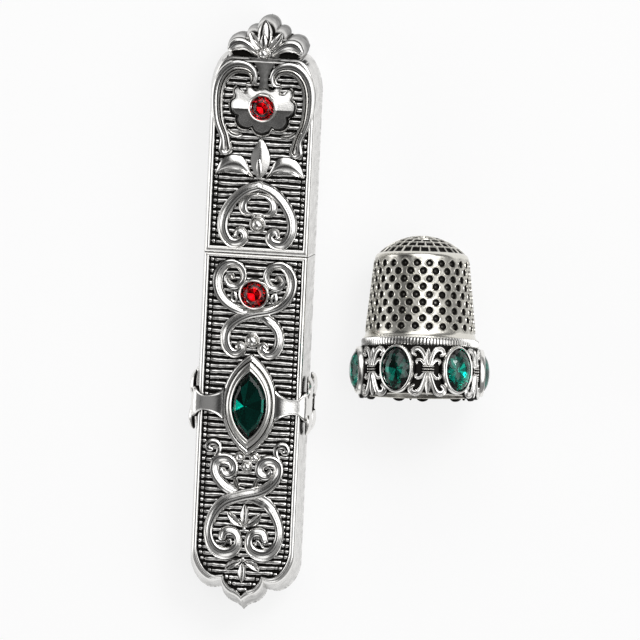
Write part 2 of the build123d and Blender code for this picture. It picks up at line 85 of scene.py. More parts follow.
# Sleeve and hollows
SLEEVE_HALF_WIDTH = 6.4
SLEEVE_HALF_DEPTH = 3.3
SLEEVE_CORNER = 1.2
BODY_HOLLOW = 45.0
CAP_HOLLOW = 26.9
CAP_CLEARANCE = 0.1

# Ribs across the sunk panels
RIB_PITCH = 0.85
RIB_HALF_WIDTH = 0.31
RIB_END_ROUND = 0.13
RIB_HEIGHT = 0.34
RIB_END_GAP = 0.08
STUB_LENGTH = 0.58
STUB_GAP = 0.06
SHORTEST_RIB = 0.5
SHORTEST_RIB_WITH_STUBS = 2.4

# Thimble, standing with its rim at zero, and its lie beside the case
THIMBLE_PLACE = (24.3, -19.3, 4.574457)
THIMBLE_YAW = 2.3
THIMBLE_TILT = 10.2904
CONE_FOOT = 9.2
CONE_TOP = 20.1
CONE_FOOT_RADIUS = 7.85
CONE_TOP_RADIUS = 6.7
DOME_FOOT = 20.65
DOME_RADIUS = 6.25
DOME_TOP = 23.3
BAND_RADIUS = 8.15
BAND_MIDDLE = 3.8
STONES_ROUND = 6
FIRST_STONE = -106.5

# Pits on the thimble's side
PITS_ROUND = 24
PIT_ROWS = 9
PIT_PITCH = 1.135
PIT_FIRST = 9.97
PIT_RADIUS = 0.52
PIT_PHASE = -90.4
CELL_SIDE = 6
SIDE_TOP = 19.95

# A pit from its lip in: place as a share of the pit's radius, height off the side, and oxide
PIT_SECTION = (
    (1.27, 0.02, 0.46), (1.21, 0.06, 0.25), (1.14, 0.11, 0), (1.06, 0.1, 0), (0.99, -0.01, 0.5),
    (0.91, -0.15, 1), (0.77, -0.25, 1), (0.52, -0.29, 0.92), (0.26, -0.3, 0.7), (0, -0.3, 0.62))
CELL_OXIDE = 0.47

# Rings of square pits on the dome: outer and inner radius, and number of pits
DOME_RINGS = (
    (6.2, 5.15, 28), (5.15, 4.1, 24), (4.1, 3.05, 18), (3.05, 2.05, 14), (2.05, 1.05, 9), (1.05, 0.2, 4))
DOME_PIT_DEPTH = 0.36

# Painted reflections on the foil facets: brightness of each facet in turn, round from the top on the pointed
# oval stone
RED_GLINTS = (0.95, 0.5, 0.8, 0.4, 1.0, 0.6, 0.3)
MARQUISE_GLINTS = (0.14, 0.26, 0.50, 0.20, 0.08, 0.10, 0.18, 1.0, 0.04, 0.44)
DEEP_GLINTS = (0.5, 0.15, 0.35, 0.1, 0.6, 0.2, 0.3, 0.12)
LIGHT_GLINTS = (0.9, 0.45, 1.0, 0.3, 0.7, 0.5, 0.85, 0.25)

# Finish: edges sharper than this in degrees stay sharp, and scales of the metal's fine patterns
SHARP_ANGLE = 32
GRAIN_SCALE = 900
PIT_SCALE = 1100
PIT_SPREAD_SCALE = 700

# Studio: strength of the surroundings, and panels as middle, full and fading angle, and strength
STUDIO_BASE = 0.26
STUDIO_PANELS = (
    ((0.61, 0.16, 0.78), 19, 34, 1.9),
    ((-0.95, 0.1, 0.26), 15, 30, 1.7),
    ((0.05, 0.70, 0.71), 16, 33, 1.8),
    ((0.0, -0.90, 0.42), 10, 22, 1.2),
    ((-0.62, 0.40, 0.68), 14, 26, 0.07),
    ((-0.10, -0.22, 0.96), 10, 25, 0.04),
)
LAMP_POWER = 1.6
LAMP_SIZE = 0.22
LAMP_PLACE = (0.30, 0.42, 0.62)
FLOOR_WHITE_SHARE = 0.8


# Helpers
def hermite(start, end, start_way, end_way, count):
    """Cubic from start to end, leaving and arriving along the two ways, each as strong as the chord."""
    start, end = np.array(start), np.array(end)
    chord = np.linalg.norm(end - start)
    leave, arrive = (np.array(way) / np.linalg.norm(way) * chord for way in (start_way, end_way))
    t = np.linspace(0, 1, count)[:, None]
    return ((2 * t ** 3 - 3 * t ** 2 + 1) * start + (t ** 3 - 2 * t ** 2 + t) * leave
            + (3 * t ** 2 - 2 * t ** 3) * end + (t ** 3 - t ** 2) * arrive)


def smooth_curve(points, count):
    """Natural cubic spline through the points, by chord length, at evenly spaced stations."""
    points = np.array(points, float)
    chords = np.linalg.norm(np.diff(points[:, :2], axis=0), axis=1)
    knots = np.concatenate([[0], np.cumsum(np.maximum(chords, 1e-6))])
    gap = np.diff(knots)
    last = len(points) - 1
    system = np.eye(last + 1)
    right = np.zeros_like(points)
    for k in range(1, last):
        system[k, k - 1:k + 2] = gap[k - 1], 2 * (gap[k - 1] + gap[k]), gap[k]
        right[k] = 6 * ((points[k + 1] - points[k]) / gap[k] - (points[k] - points[k - 1]) / gap[k - 1])
    bend = np.linalg.solve(system, right)
    at = np.linspace(0, knots[-1], count)
    k = np.clip(np.searchsorted(knots, at, side="right") - 1, 0, last - 1)
    h = gap[k][:, None]
    a = (knots[k + 1] - at)[:, None] / h
    b = (at - knots[k])[:, None] / h
    return (a * points[k] + b * points[k + 1]
            + ((a ** 3 - a) * bend[k] + (b ** 3 - b) * bend[k + 1]) * h ** 2 / 6)


def ways(line):
    """Unit directions along a flat line, and square to it on its left."""
    way = np.gradient(line[:, :2], axis=0)
    way /= np.linalg.norm(way, axis=1)[:, None]
    return way, np.column_stack([-way[:, 1], way[:, 0]])


def smooth_step(low, high, value):
    """0 below low, 1 above high, and an S curve between."""
    t = np.clip((value - low) / (high - low), 0, 1)
    return t * t * (3 - 2 * t)


def shade_along(shade, y):
    """Darkening added along the case: an amount, reached on an S curve between two places."""
    amount, start, full = shade
    return amount * smooth_step(start, full, y)


def at_height(flat, height):
    """Points of a flat row at one height, or at a height each."""
    return np.column_stack([flat, np.broadcast_to(height, len(flat))])


def circle(count):
    """Evenly spaced angles once round."""
    return np.linspace(0, 2 * np.pi, count, endpoint=False)


def oxide_and_shade_values(profile):
    """Last value of each row of a profile, as a column for a grid."""
    return [[row[-1]] for row in profile]


def round_row(radius, angle, height):
    """Row of points about the upright axis, from their radius, angle and height."""
    return at_height(np.column_stack([radius * np.cos(angle), radius * np.sin(angle)]), height)


def join(patches):
    """One patch from many: points, faces and oxide run on from each other."""
    points, faces, oxide_and_shade = zip(*patches)
    starts = np.cumsum([0] + [len(part) for part in points[:-1]])
    faces = [part + start for part, start in zip(faces, starts)]
    return np.concatenate(points), np.concatenate(faces), np.concatenate(oxide_and_shade)


def grid(points, oxide_and_shade, wrap=True):
    """Patch from rows and columns of points; wrap joins the last column to the first."""
    points = np.array(points)
    rows, columns = points.shape[:2]
    index = np.arange(rows * columns).reshape(rows, columns)
    if wrap:
        index = np.concatenate([index, index[:, :1]], axis=1)
    faces = np.stack([index[:-1, :-1], index[:-1, 1:], index[1:, 1:], index[1:, :-1]], axis=-1)
    return points.reshape(-1, 3), faces.reshape(-1, 4), np.broadcast_to(oxide_and_shade, (rows, columns)).reshape(-1)


def mirrored(patch, axis):
    """Patch turned over across the plane through the origin square to the axis number."""
    points, faces, oxide_and_shade = patch
    return points * np.where(np.arange(3) == axis, -1, 1), faces[:, ::-1], oxide_and_shade


def both_sides(patch):
    """The patch and its mirror image across the case's axis."""
    return [patch, mirrored(patch, 0)]


def new_mesh(name, points, faces, materials, layer, domain, values, merge):
    """Mesh from points in millimetres with one layer of values; its faces are turned outwards."""
    mesh = bpy.data.meshes.new(name)
    mesh.from_pydata((points * MM).tolist(), [], faces)
    mesh.attributes.new(layer, "FLOAT", domain).data.foreach_set("value", np.array(values, np.float32))
    work = bmesh.new()
    work.from_mesh(mesh)
    if merge:
        bmesh.ops.remove_doubles(work, verts=work.verts, dist=2e-6)
        bmesh.ops.dissolve_degenerate(work, edges=work.edges, dist=1e-7)
    bmesh.ops.recalc_face_normals(work, faces=work.faces)
    work.to_mesh(mesh)
    work.free()
    for material in materials:
        mesh.materials.append(material)
    return mesh


def place_piece(name, mesh, body, node):
    """Object of a mesh that moves with a body and takes the place of a node."""
    piece = bpy.data.objects.new(name, mesh)
    bpy.context.collection.objects.link(piece)
    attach(piece, body)
    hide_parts(node)


def add_piece(name, patch, material, body, slot, node, flats=()):
    """Smooth piece from a patch, plus flat many-cornered faces given as points and an oxide value."""
    points, faces, oxide_and_shade = patch
    faces = faces.tolist()
    for corners, value in flats:
        faces.append(list(range(len(points), len(points) + len(corners))))
        points = np.concatenate([points, corners])
        oxide_and_shade = np.concatenate([oxide_and_shade, np.full(len(corners), value)])
    mesh = new_mesh(name, points, faces, [material], "oxide_and_shade", "POINT", oxide_and_shade, merge=True)
    mesh.polygons.foreach_set("use_smooth", np.ones(len(mesh.polygons), bool))
    mesh.set_sharp_from_angle(angle=np.radians(SHARP_ANGLE))
    place_piece(name, mesh, body, node)


# Relief forms
def even(*half):
    """Section that is the same on both sides, from its rows up to the middle."""
    return np.array(half + tuple((-place, rise, dark) for place, rise, dark in half[::-1] if place))


# Each section lists place across (-1 inner edge, 1 outer edge), share of the height, and oxide
STRAP = np.array([
    (-1, 0, 1), (-0.97, 0.45, 0.9), (-0.9, 0.75, 0.25), (-0.76, 0.93, 0), (-0.55, 1, 0), (-0.3, 1, 0),
    (-0.05, 0.95, 0), (0.2, 0.86, 0), (0.38, 0.78, 0.05), (0.5, 0.71, 0.35), (0.56, 0.7, 0.42),
    (0.63, 0.74, 0.2), (0.72, 0.84, 0), (0.82, 0.9, 0), (0.9, 0.84, 0.05), (0.95, 0.66, 0.4),
    (0.98, 0.4, 0.9), (1, 0, 1)])
HOOP = np.array([
    (-1, 0, 1), (-0.97, 0.5, 0.8), (-0.9, 0.8, 0.1), (-0.78, 0.94, 0), (-0.64, 0.96, 0),
    (-0.52, 0.84, 0.05), (-0.45, 0.62, 0.7), (-0.4, 0.55, 0.95), (-0.35, 0.62, 0.7), (-0.26, 0.78, 0.1),
    (-0.08, 0.9, 0), (0.15, 0.97, 0), (0.4, 1, 0), (0.62, 0.98, 0), (0.8, 0.9, 0), (0.91, 0.72, 0.1),
    (0.97, 0.45, 0.7), (1, 0, 1)])
CURL = np.array([
    (-1, 0, 1), (-0.95, 0.5, 0.85), (-0.84, 0.82, 0.25), (-0.62, 0.98, 0), (-0.3, 1, 0), (0, 0.94, 0),
    (0.25, 0.8, 0.25), (0.42, 0.7, 0.6), (0.58, 0.76, 0.35), (0.74, 0.92, 0), (0.87, 0.86, 0.15),
    (0.96, 0.5, 0.85), (1, 0, 1)])
SPRIG = even((-1, 0, 1), (-0.94, 0.55, 0.6), (-0.82, 0.84, 0), (-0.64, 0.95, 0), (-0.42, 0.92, 0),
             (-0.22, 0.8, 0.1), (-0.08, 0.7, 0.5))
PLAIN = even((-1, 0, 1), (-0.97, 0.45, 0.9), (-0.9, 0.72, 0.3), (-0.75, 0.9, 0), (-0.5, 0.98, 0),
             (-0.2, 1, 0))
LEAF = even((-1, 0, 1), (-0.96, 0.5, 0.85), (-0.9, 0.86, 0.2), (-0.8, 1, 0), (-0.68, 0.92, 0.1),
            (-0.58, 0.7, 0.65), (-0.48, 0.62, 0.75), (-0.34, 0.66, 0.3), (-0.15, 0.78, 0), (0, 0.86, 0))

# Section of the waist's arms: place across, height off the arm's middle line in millimetres, and oxide
ARM = even((-1, -0.6, 1), (-0.99, -0.2, 0.6), (-0.95, 0.02, 0), (-0.89, 0.07, 0), (-0.84, 0.04, 0.1),
           (-0.76, -0.06, 0.35), (-0.5, -0.07, 0), (0, -0.05, 0))

# Rim section of both castings: share of the flare, distance in from the rim's edge, height, oxide and painted
# shade
# Its first rows, up the flared wall, hold painted shade that greys the wall; the grooves of the rim hold
# oxide.
RIM_SECTION = (
    (0, 0, 0, 0.44), (0.2, 0, 1, 0.4), (0.5, 0, 2.5, 0.38), (0.84, 0, 4.2, 0.37), (0.97, 0, 4.55, 0.2),
    (1, 0.03, 4.64, 0), (1, 0.14, 4.72, 0), (1, 0.27, 4.79, 0), (1, 0.31, 4.8, 0.3), (1, 0.34, 4.77, 0.8),
    (1, 0.37, 4.79, 0.6), (1, 0.41, 4.87, 0.1), (1, 0.5, 4.94, 0), (1, 0.6, 4.99, 0), (1, 0.66, 4.94, 0.1),
    (1, 0.7, 4.75, 0.6), (1, 0.72, 4.5, 0.95), (1, 0.74, 4.2, 1))
SIDE_LEVELS = 4

# Stations along leaves and blades
LEAF_COUNT = 28
BLADE_COUNT = 48

# Painted shade added to the walls towards the foot, and darkening added to the rim over the cap's top:
# amount, start and full
FOOT_PAINTED_SHADE = (0.10, -46.5, -50.5)
CROWN_SHADE = (0.52, 27.3, 28.0)


def strap(stations, section, height, base=GROUND, count=110, outer=1, cap_steps=9):
    """Relief band along a smooth curve, with its section carried round both ends.

    Each station gives x, y, half width and, if wanted, a share of the height. Level t of the section
    is a closed loop at t times the half width from the centre line; its height is the section read
    at +t on the outer side and -t on the inner side, and goes from one to the other round an end.
    """
    line = smooth_curve([tuple(s) + (1.0,) * (4 - len(s)) for s in stations], count)
    way, side = ways(line)
    side = side * outer
    turn = np.linspace(0, np.pi, cap_steps + 2)[1:-1]
    c, s = np.cos(turn)[:, None], np.sin(turn)[:, None]
    out = np.concatenate([side, c * side[-1] + s * way[-1], -side[::-1], -c * side[0] - s * way[0]])
    there = np.concatenate([line, np.repeat(line[-1:], cap_steps, 0),
                            line[::-1], np.repeat(line[:1], cap_steps, 0)])
    centre, half, tall = there[:, :2], np.maximum(there[:, 2], 0.02), there[:, 3]
    share = np.concatenate([np.ones(count), (1 + c[:, 0]) / 2, np.zeros(count), (1 - c[:, 0]) / 2])
    rows, dark = [], []
    for t in np.unique(np.abs(section[:, 0])):
        rise, oxide_and_shade = (share * np.interp(t, section[:, 0], column)
                       + (1 - share) * np.interp(-t, section[:, 0], column) for column in section[:, 1:].T)
        rows.append(at_height(centre + out * (half * t)[:, None], base + height * tall * rise))
        dark.append(oxide_and_shade)
    rows += [at_height(centre + out * half[:, None], base - SINK), at_height(centre, base - SINK)]
    return grid(rows, dark + [np.ones(len(half))] * 2)


def leaf(start, end, half_width, height, base=GROUND, section=LEAF, bow=0.0, power=0.7):
    """Leaf from start to end: half width rises and falls as a power of a sine, and bow bends its midrib."""
    start, end = np.array(start), np.array(end)
    run = end - start
    t = np.linspace(0, 1, LEAF_COUNT)
    arch = np.sin(np.pi * t)
    stations = start + np.outer(t, run) + np.outer(arch * bow, (-run[1], run[0]))
    width = half_width * arch ** power + 0.03
    tall = 0.55 + 0.45 * arch ** 0.5
    line = np.column_stack([stations, width, tall])
    return strap(line, section, height, base, count=LEAF_COUNT, cap_steps=5)


def crossed(stations, half_width, low, high, count):
    """Band that crosses its mirror image, which dips under it near the axis between two heights."""
    under = [s + (0.55 if abs(s[0]) < half_width and low < s[1] < high else 1.0,) for s in stations]
    return [strap(stations, STRAP, 1, count=count), mirrored(strap(under, STRAP, 1, count=count), 0)]


def blade(edge_a, edge_b, height, dark):
    """Leaf blade between two edges: height and oxide are functions of place along and across."""
    a, b = smooth_curve(edge_a, BLADE_COUNT)[:, None], smooth_curve(edge_b, BLADE_COUNT)[:, None]
    along = np.linspace(0, 1, BLADE_COUNT)[:, None]
    across = np.array([[0, 0.015, 0.05, 0.1, 0.18, 0.28, 0.4, 0.5, 0.6, 0.72, 0.82, 0.9, 0.95, 0.985, 1]])
    flat = a * (1 - across[..., None]) + b * across[..., None]
    edge = np.minimum(np.minimum(across, 1 - across) / 0.05, 1) * np.ones_like(along)
    rise = height(along, across) * np.sqrt(np.clip(1 - (1 - edge) ** 2, 0, 1))
    top = np.concatenate([flat, (GROUND + rise)[..., None]], axis=-1)
    under = top[:, ::-1].copy()
    under[..., 2] = GROUND - SINK
    shade = np.concatenate([np.maximum(dark(along, across), 1 - edge), np.ones_like(rise)], axis=1)
    return grid(np.concatenate([top, under], axis=1), shade)


def flipped(points):
    """Flat points mirrored across the case's axis."""
    return [(-x, y) for x, y in points]


def turned(profile, centre, base, steps):
    """Round relief: radius, height and oxide of the profile turned about the centre."""
    angle = circle(steps)
    rows = [round_row(radius, angle, base + height) + (*centre, 0) for radius, height, _ in profile]
    return grid(rows, oxide_and_shade_values(profile))


def ringed_bead(x, y, radius, base=GROUND):
    """Ball on a collar: a dome over seven tenths of the radius, a groove, and a round ring."""
    ball = [(np.sin(a) * 0.76, 0.42 + 0.76 * np.cos(a), 0) for a in np.linspace(0.2, 1.5, 9)]
    ring = [(0.89 + 0.11 * np.cos(a), 0.42 + 0.14 * np.sin(a), 0.15) for a in np.linspace(2.6, -0.4, 8)]
    profile = [(0, 1.18, 0), *ball, (0.78, 0.38, 0.9), *ring, (1, 0, 1), (1, -0.08, 1), (0, -0.08, 1)]
    return turned(np.array(profile) * (radius, radius, 1), (x, y), base, 40)


def plain_bead(x, y, radius):
    """Small ball seated a little past its middle."""
    ball = [(np.sin(a), 0.45 + np.cos(a), a > 1.75) for a in np.linspace(0, 2, 12)]
    profile = [*ball, (0.85, -0.08, 1), (0, -0.08, 1)]
    return turned(np.array(profile) * (radius, radius, 1), (x, y), GROUND, 32)


# Castings
def closed(right, crown):
    """Closed outline from the seam's left end: along the seam, the right side, the crown, the left side."""
    seam = np.linspace(right[0] * (-1, 1), right[0], SEAM_COUNT)
    return np.concatenate([seam[:-1], right, crown, right[:0:-1] * (-1, 1)])


def body_loop(side_inset, end_inset, seam):
    """Body outline: straight sides down to round corners, then a cusp and an ogee to the pointed foot."""
    scale = (CASE_HALF_WIDTH - side_inset) / CASE_HALF_WIDTH, (BODY_LENGTH - end_inset) / BODY_LENGTH
    marks = np.array([(CASE_HALF_WIDTH, 7.35), (4.6, 2.95), (3.3, 3.15), (1.5, 1.05), (0, 0)])
    corner, turn_end, cusp, ogee, tip = (marks - (0, BODY_LENGTH)) * scale
    right = np.concatenate([
        np.linspace((corner[0], seam), corner, 90)[:-1],
        hermite(corner, turn_end, (0, -1), (-1, 0), 40)[:-1],
        np.linspace(turn_end, cusp, 10)[:-1],
        hermite(cusp, ogee, (-0.1, -1), (-1, -0.3), 26)[:-1],
        hermite(ogee, tip, (-1, -0.3), (-0.7, -1), 26)])
    return closed(right[:-1], right[-1:])


def cap_loop(side_inset, end_inset, seam):
    """Cap outline: straight sides up to round shoulders and a flat top."""
    scale = (CASE_HALF_WIDTH - side_inset) / CASE_HALF_WIDTH, (CAP_LENGTH - end_inset) / CAP_LENGTH
    start, end = np.array([(CASE_HALF_WIDTH, CAP_LENGTH - 5.5), (4.9, CAP_LENGTH)]) * scale
    right = np.concatenate([
        np.linspace((start[0], seam), start, 60)[:-1],
        hermite(start, end, (0, 1), (-1, 0), 44)[:-1]])
    return closed(right, np.linspace(end, end * (-1, 1), 40)[:-1])


def sleeve_half(clearance):
    """Upper half of the sleeve's rounded outline, grown by the clearance, from +x to -x, as x and z."""
    angle = np.linspace(0, np.pi / 2, 5)
    arc = (SLEEVE_CORNER + clearance) * np.column_stack([np.cos(angle), np.sin(angle)])
    arc = arc + (SLEEVE_HALF_WIDTH - SLEEVE_CORNER, SLEEVE_HALF_DEPTH - SLEEVE_CORNER)
    reach = SLEEVE_HALF_WIDTH + clearance
    return np.concatenate([[(reach, 0)], arc, arc[::-1] * (-1, 1), [(-reach, 0)]])


def casting(loop, seam, land, end_flare, hollow_end, clearance, ribs):
    """Front half of a casting: flared wall greyed with painted shade, double rim, sunk panel with ribs, mouth
    and hollow.

    Its second result is its flat faces: the panel, the mouth, the parting face and the hollow's end.
    """
    levels = []
    for flare, inset, height, _ in RIM_SECTION:
        outline = loop(SIDE_FLARE * flare + inset, end_flare * flare + inset, seam + land * inset / RIM_WIDTH)
        levels.append(at_height(outline, height))
    levels = np.array(levels)
    dark = np.array(oxide_and_shade_values(RIM_SECTION))
    wall, rim = levels[:SIDE_LEVELS, SEAM_COUNT - 1:], levels[SIDE_LEVELS - 1:]
    inside = np.array([[(x, y, z) for x, z in sleeve_half(clearance)] for y in (seam, hollow_end)])
    # The wall's values are painted shade that greys it, more so towards the foot.
    patches = [
        grid(wall, dark[:SIDE_LEVELS] + shade_along(FOOT_PAINTED_SHADE, wall[:, :, 1]), wrap=False),
        grid(levels[:SIDE_LEVELS, [-1, 0]], dark[:SIDE_LEVELS], wrap=False),
        grid(rim, dark[SIDE_LEVELS - 1:] + shade_along(CROWN_SHADE, rim[:, :, 1])),
        grid(inside, 0.35, wrap=False)]
    mouth = np.concatenate([levels[:SIDE_LEVELS - 1, 0], rim[0, :SEAM_COUNT],
                            wall[SIDE_LEVELS - 2::-1, 0], inside[0]])
    parting = np.concatenate([wall[0], levels[0, :1], inside[0, -1:], inside[1, -1:],
                              inside[1, :1], inside[0, :1]])
    flats = [(levels[-1], 1.0), (mouth, 0.15), (parting, 0.3), (inside[1], 0.5)]
    panel = loop(SIDE_FLARE + RIM_WIDTH, end_flare + RIM_WIDTH, land)
    return join(patches + panel_ribs(panel, *ribs)), flats


def rib(y, left, right, phase):
    """Round-topped bar across the panel: half width and height fall off as a short quarter round at each
    end and vary a little along it, and its oxide is deep low on its sides and worn in patches on top."""
    middle = np.linspace(left + RIB_END_ROUND, right - RIB_END_ROUND, 35 if right - left > 1 else 5)
    ends = RIB_END_ROUND * np.array([0, 0.08, 0.3, 0.6])
    x = np.concatenate([left + ends, middle, (right - ends)[::-1]])
    edge = np.clip(np.minimum(x - left, right - x) / RIB_END_ROUND, 0, 1)
    wave = 1 + 0.07 * np.sin(x * 2.1 + phase) + 0.08 * np.sin(x * 5.3 + 2 * phase)
    size = np.sqrt(1 - (1 - edge) ** 2) * wave
    y = y + 0.035 * np.sin(x * 1.3 + 3 * phase)
    tall = RIB_HEIGHT * (0.92 + 0.14 * np.sin(5.1 * phase))
    worn = 0.33 + 0.07 * np.sin(2.3 * phase) + 0.12 * np.sin(x * 3.1 + phase) * np.sin(x * 7.7 + 2 * phase)
    sole, edge_dark = np.column_stack([x, y, np.full(len(x), GROUND - 0.05)]), np.ones(len(x))
    rows, dark = [sole], [edge_dark]
    for across in (-1, -0.93, -0.75, -0.45, 0, 0.45, 0.75, 0.93, 1):
        rise = tall * np.sqrt(1 - across ** 2)
        rows.append(np.column_stack([x, y + across * RIB_HALF_WIDTH * size, GROUND + rise * size]))
        dark.append(0.60 * smooth_step(0.55, 0.96, abs(across)) + worn)
    return grid(rows + [sole], dark + [edge_dark], wrap=False)


def panel_ribs(loop, low, high, phase):
    """Ribs at an even pitch across the panel, with a short stub cut off both ends of each long one."""
    ribs = []
    cut = STUB_LENGTH + STUB_GAP
    for number, y in enumerate(np.arange(low, high, RIB_PITCH)):
        for left, right in spans(loop, y) + (RIB_END_GAP, -RIB_END_GAP):
            if right - left > SHORTEST_RIB_WITH_STUBS:
                ribs.append(rib(y, left + cut, right - cut, phase + 1.7 * number))
                ribs.append(rib(y + 0.06, left, left + STUB_LENGTH, phase + 2.3 * number))
                ribs.append(rib(y - 0.05, right - STUB_LENGTH, right, phase + 2.9 * number))
            elif right - left > SHORTEST_RIB:
                ribs.append(rib(y, left, right, phase + 1.7 * number))
    return ribs


def spans(loop, y):
    """Stretches of x inside a closed outline at height y."""
    ahead = np.roll(loop, -1, axis=0)
    crossing = (loop[:, 1] > y) != (ahead[:, 1] > y)
    a, b = loop[crossing], ahead[crossing]
    return np.sort(a[:, 0] + (y - a[:, 1]) / (b[:, 1] - a[:, 1]) * (b[:, 0] - a[:, 0])).reshape(-1, 2)


# Materials
def feed(tree, node, inputs):
    """Gives a node's inputs, by name or number, their values or links from other nodes' sockets."""
    for name, value in inputs.items():
        if isinstance(value, bpy.types.NodeSocket):
            tree.links.new(value, node.inputs[name])
        else:
            node.inputs[name].default_value = value


def add_node(tree, kind, inputs, **settings):
    """Shader node of a kind with its settings and inputs."""
    node = tree.nodes.new("ShaderNode" + kind)
    for name, value in settings.items():
        setattr(node, name, value)
    feed(tree, node, inputs)
    return node


def maths(tree, operation, a, b):
    """Result of an operation on two values or sockets."""
    return add_node(tree, "Math", {0: a, 1: b}, operation=operation).outputs[0]


def ramp(tree, value, low, high):
    """0 to 1 along an S curve as the value goes from low to high."""
    inputs = {"Value": value, "From Min": low, "From Max": high}
    return add_node(tree, "MapRange", inputs, interpolation_type="SMOOTHSTEP").outputs["Result"]


def new_material(name):
    """Material with its node tree and its main shader."""
    material = bpy.data.materials.new(name)
    material.use_nodes = True
    return material, material.node_tree, material.node_tree.nodes["Principled BSDF"]


def oxide_and_shade_group():
    """Shared finish: polished metal where the oxide_and_shade value is low, black-brown where it is high, as
    patina in hollows and as painted shade.

    The mask is an S curve of the oxide_and_shade value shifted by the broad grain; sparse small pits darken
    it too.
    Roughness grows and metal falls with it, and height is broad and fine grain less the pits.
    """
    tree = bpy.data.node_groups.new("antiqued finish", "ShaderNodeTree")
    for way, name, kind in (
            ("INPUT", "Polished", "Color"), ("INPUT", "Oxidised and shaded", "Color"),
            ("INPUT", "Patchiness", "Float"), ("INPUT", "Pitting", "Float"), ("OUTPUT", "Color", "Color"),
            ("OUTPUT", "Roughness", "Float"), ("OUTPUT", "Metallic", "Float"), ("OUTPUT", "Height", "Float")):
        tree.interface.new_socket(name, in_out=way, socket_type="NodeSocket" + kind)
    given = tree.nodes.new("NodeGroupInput").outputs
    place = add_node(tree, "TexCoord", {}).outputs["Object"]

    def maker(operation):
        """Function for the result of one operation on two values or sockets."""
        return lambda a, b: maths(tree, operation, a, b)

    def noise(scale, detail):
        """Cloudy pattern over the piece's own place."""
        return add_node(tree, "TexNoise", {"Vector": place, "Scale": scale, "Detail": detail}).outputs["Fac"]

    plus, minus, times, larger = map(maker, ("ADD", "SUBTRACT", "MULTIPLY", "MAXIMUM"))
    # The layer holds patina in the metal's hollows and, on some pieces, painted shade.
    layer = add_node(tree, "Attribute", {}, attribute_name="oxide_and_shade").outputs["Fac"]
    broad, fine = noise(GRAIN_SCALE, 3), noise(5 * GRAIN_SCALE, 2)
    mask = ramp(tree, plus(layer, times(minus(broad, 0.5), given["Patchiness"])), 0.22, 0.78)
    cells = add_node(tree, "TexVoronoi", {"Vector": place, "Scale": PIT_SCALE}).outputs["Distance"]
    sparse = ramp(tree, noise(PIT_SPREAD_SCALE, 1), 0.6, 0.68)
    pit = times(times(ramp(tree, cells, 0.16, 0.06), sparse), given["Pitting"])
    dark = larger(mask, times(pit, 0.8))
    colours = {"Factor": dark, "A": given["Polished"], "B": given["Oxidised and shaded"]}
    feed(tree, tree.nodes.new("NodeGroupOutput"), {
        "Color": add_node(tree, "Mix", colours, data_type="RGBA").outputs["Result"],
        "Roughness": plus(times(dark, 0.4), plus(0.13, times(fine, 0.09))),
        "Metallic": minus(1, times(dark, 0.15)),
        "Height": minus(plus(times(broad, 0.6), times(fine, 0.4)), pit)})
    return tree


def silver(name, polished, oxidised_and_shaded, patchiness, pitting, bump):
    """Antiqued metal with its own colours; bump is the depth of its fine unevenness in millimetres."""
    material, tree, shader = new_material(name)
    finish = tree.nodes.new("ShaderNodeGroup")
    finish.node_tree = finish_group
    feed(tree, finish, {"Polished": (*polished, 1), "Oxidised and shaded": (*oxidised_and_shaded, 1), "Patchiness": patchiness,
                        "Pitting": pitting})
    made = finish.outputs
    relief = add_node(tree, "Bump", {"Strength": 0.6, "Distance": bump * MM, "Height": made["Height"]})
    feed(tree, shader, {"Base Color": made["Color"], "Roughness": made["Roughness"],
                        "Metallic": made["Metallic"], "Normal": relief.outputs["Normal"]})
    return material


def glass(name, colour):
    """Clear tinted glass for a stone's crown."""
    material, tree, shader = new_material(name)
    feed(tree, shader, {"Base Color": (*colour, 1), "Roughness": 0.02, "IOR": 1.55, "Transmission Weight": 1})
    return material


def foil(name, colour):
    """Bright tinted foil behind a stone, darker or lighter from facet to facet as painted reflections."""
    material, tree, shader = new_material(name)
    # Painted reflections: each facet's foil colour is scaled by its listed brightness.
    glint_share = add_node(tree, "Attribute", {}, attribute_name="facet_glint").outputs["Fac"]
    tint = add_node(tree, "Mix", {"Factor": glint_share, "A": (0, 0, 0, 1), "B": (*colour, 1)}, data_type="RGBA")
    feed(tree, shader, {"Base Color": tint.outputs["Result"], "Metallic": 1, "Roughness": 0.04})
    return material


finish_group = oxide_and_shade_group()
case_silver = silver("antiqued case silver", (0.84, 0.83, 0.81), (0.008, 0.007, 0.006), 0.22, 0.5, 0.03)
setting_silver = silver("polished setting silver", (0.86, 0.85, 0.82), (0.01, 0.009, 0.008), 0.3, 0.3, 0.012)
thimble_silver = silver("antiqued thimble silver", (0.74, 0.72, 0.66), (0.008, 0.007, 0.006), 0.4, 0.4, 0.02)
sleeve_silver = silver("sleeve metal", (0.72, 0.71, 0.68), (0.1, 0.09, 0.08), 0.3, 0.1, 0.02)
STONE_MATERIALS = {
    "red_glass": (glass("red glass", (0.84, 0.02, 0.045)), foil("red foil", (0.98, 0.10, 0.12))),
    "green_glass": (glass("green glass", (0.006, 0.31, 0.25)), foil("green foil", (0.05, 0.85, 0.76))),
}


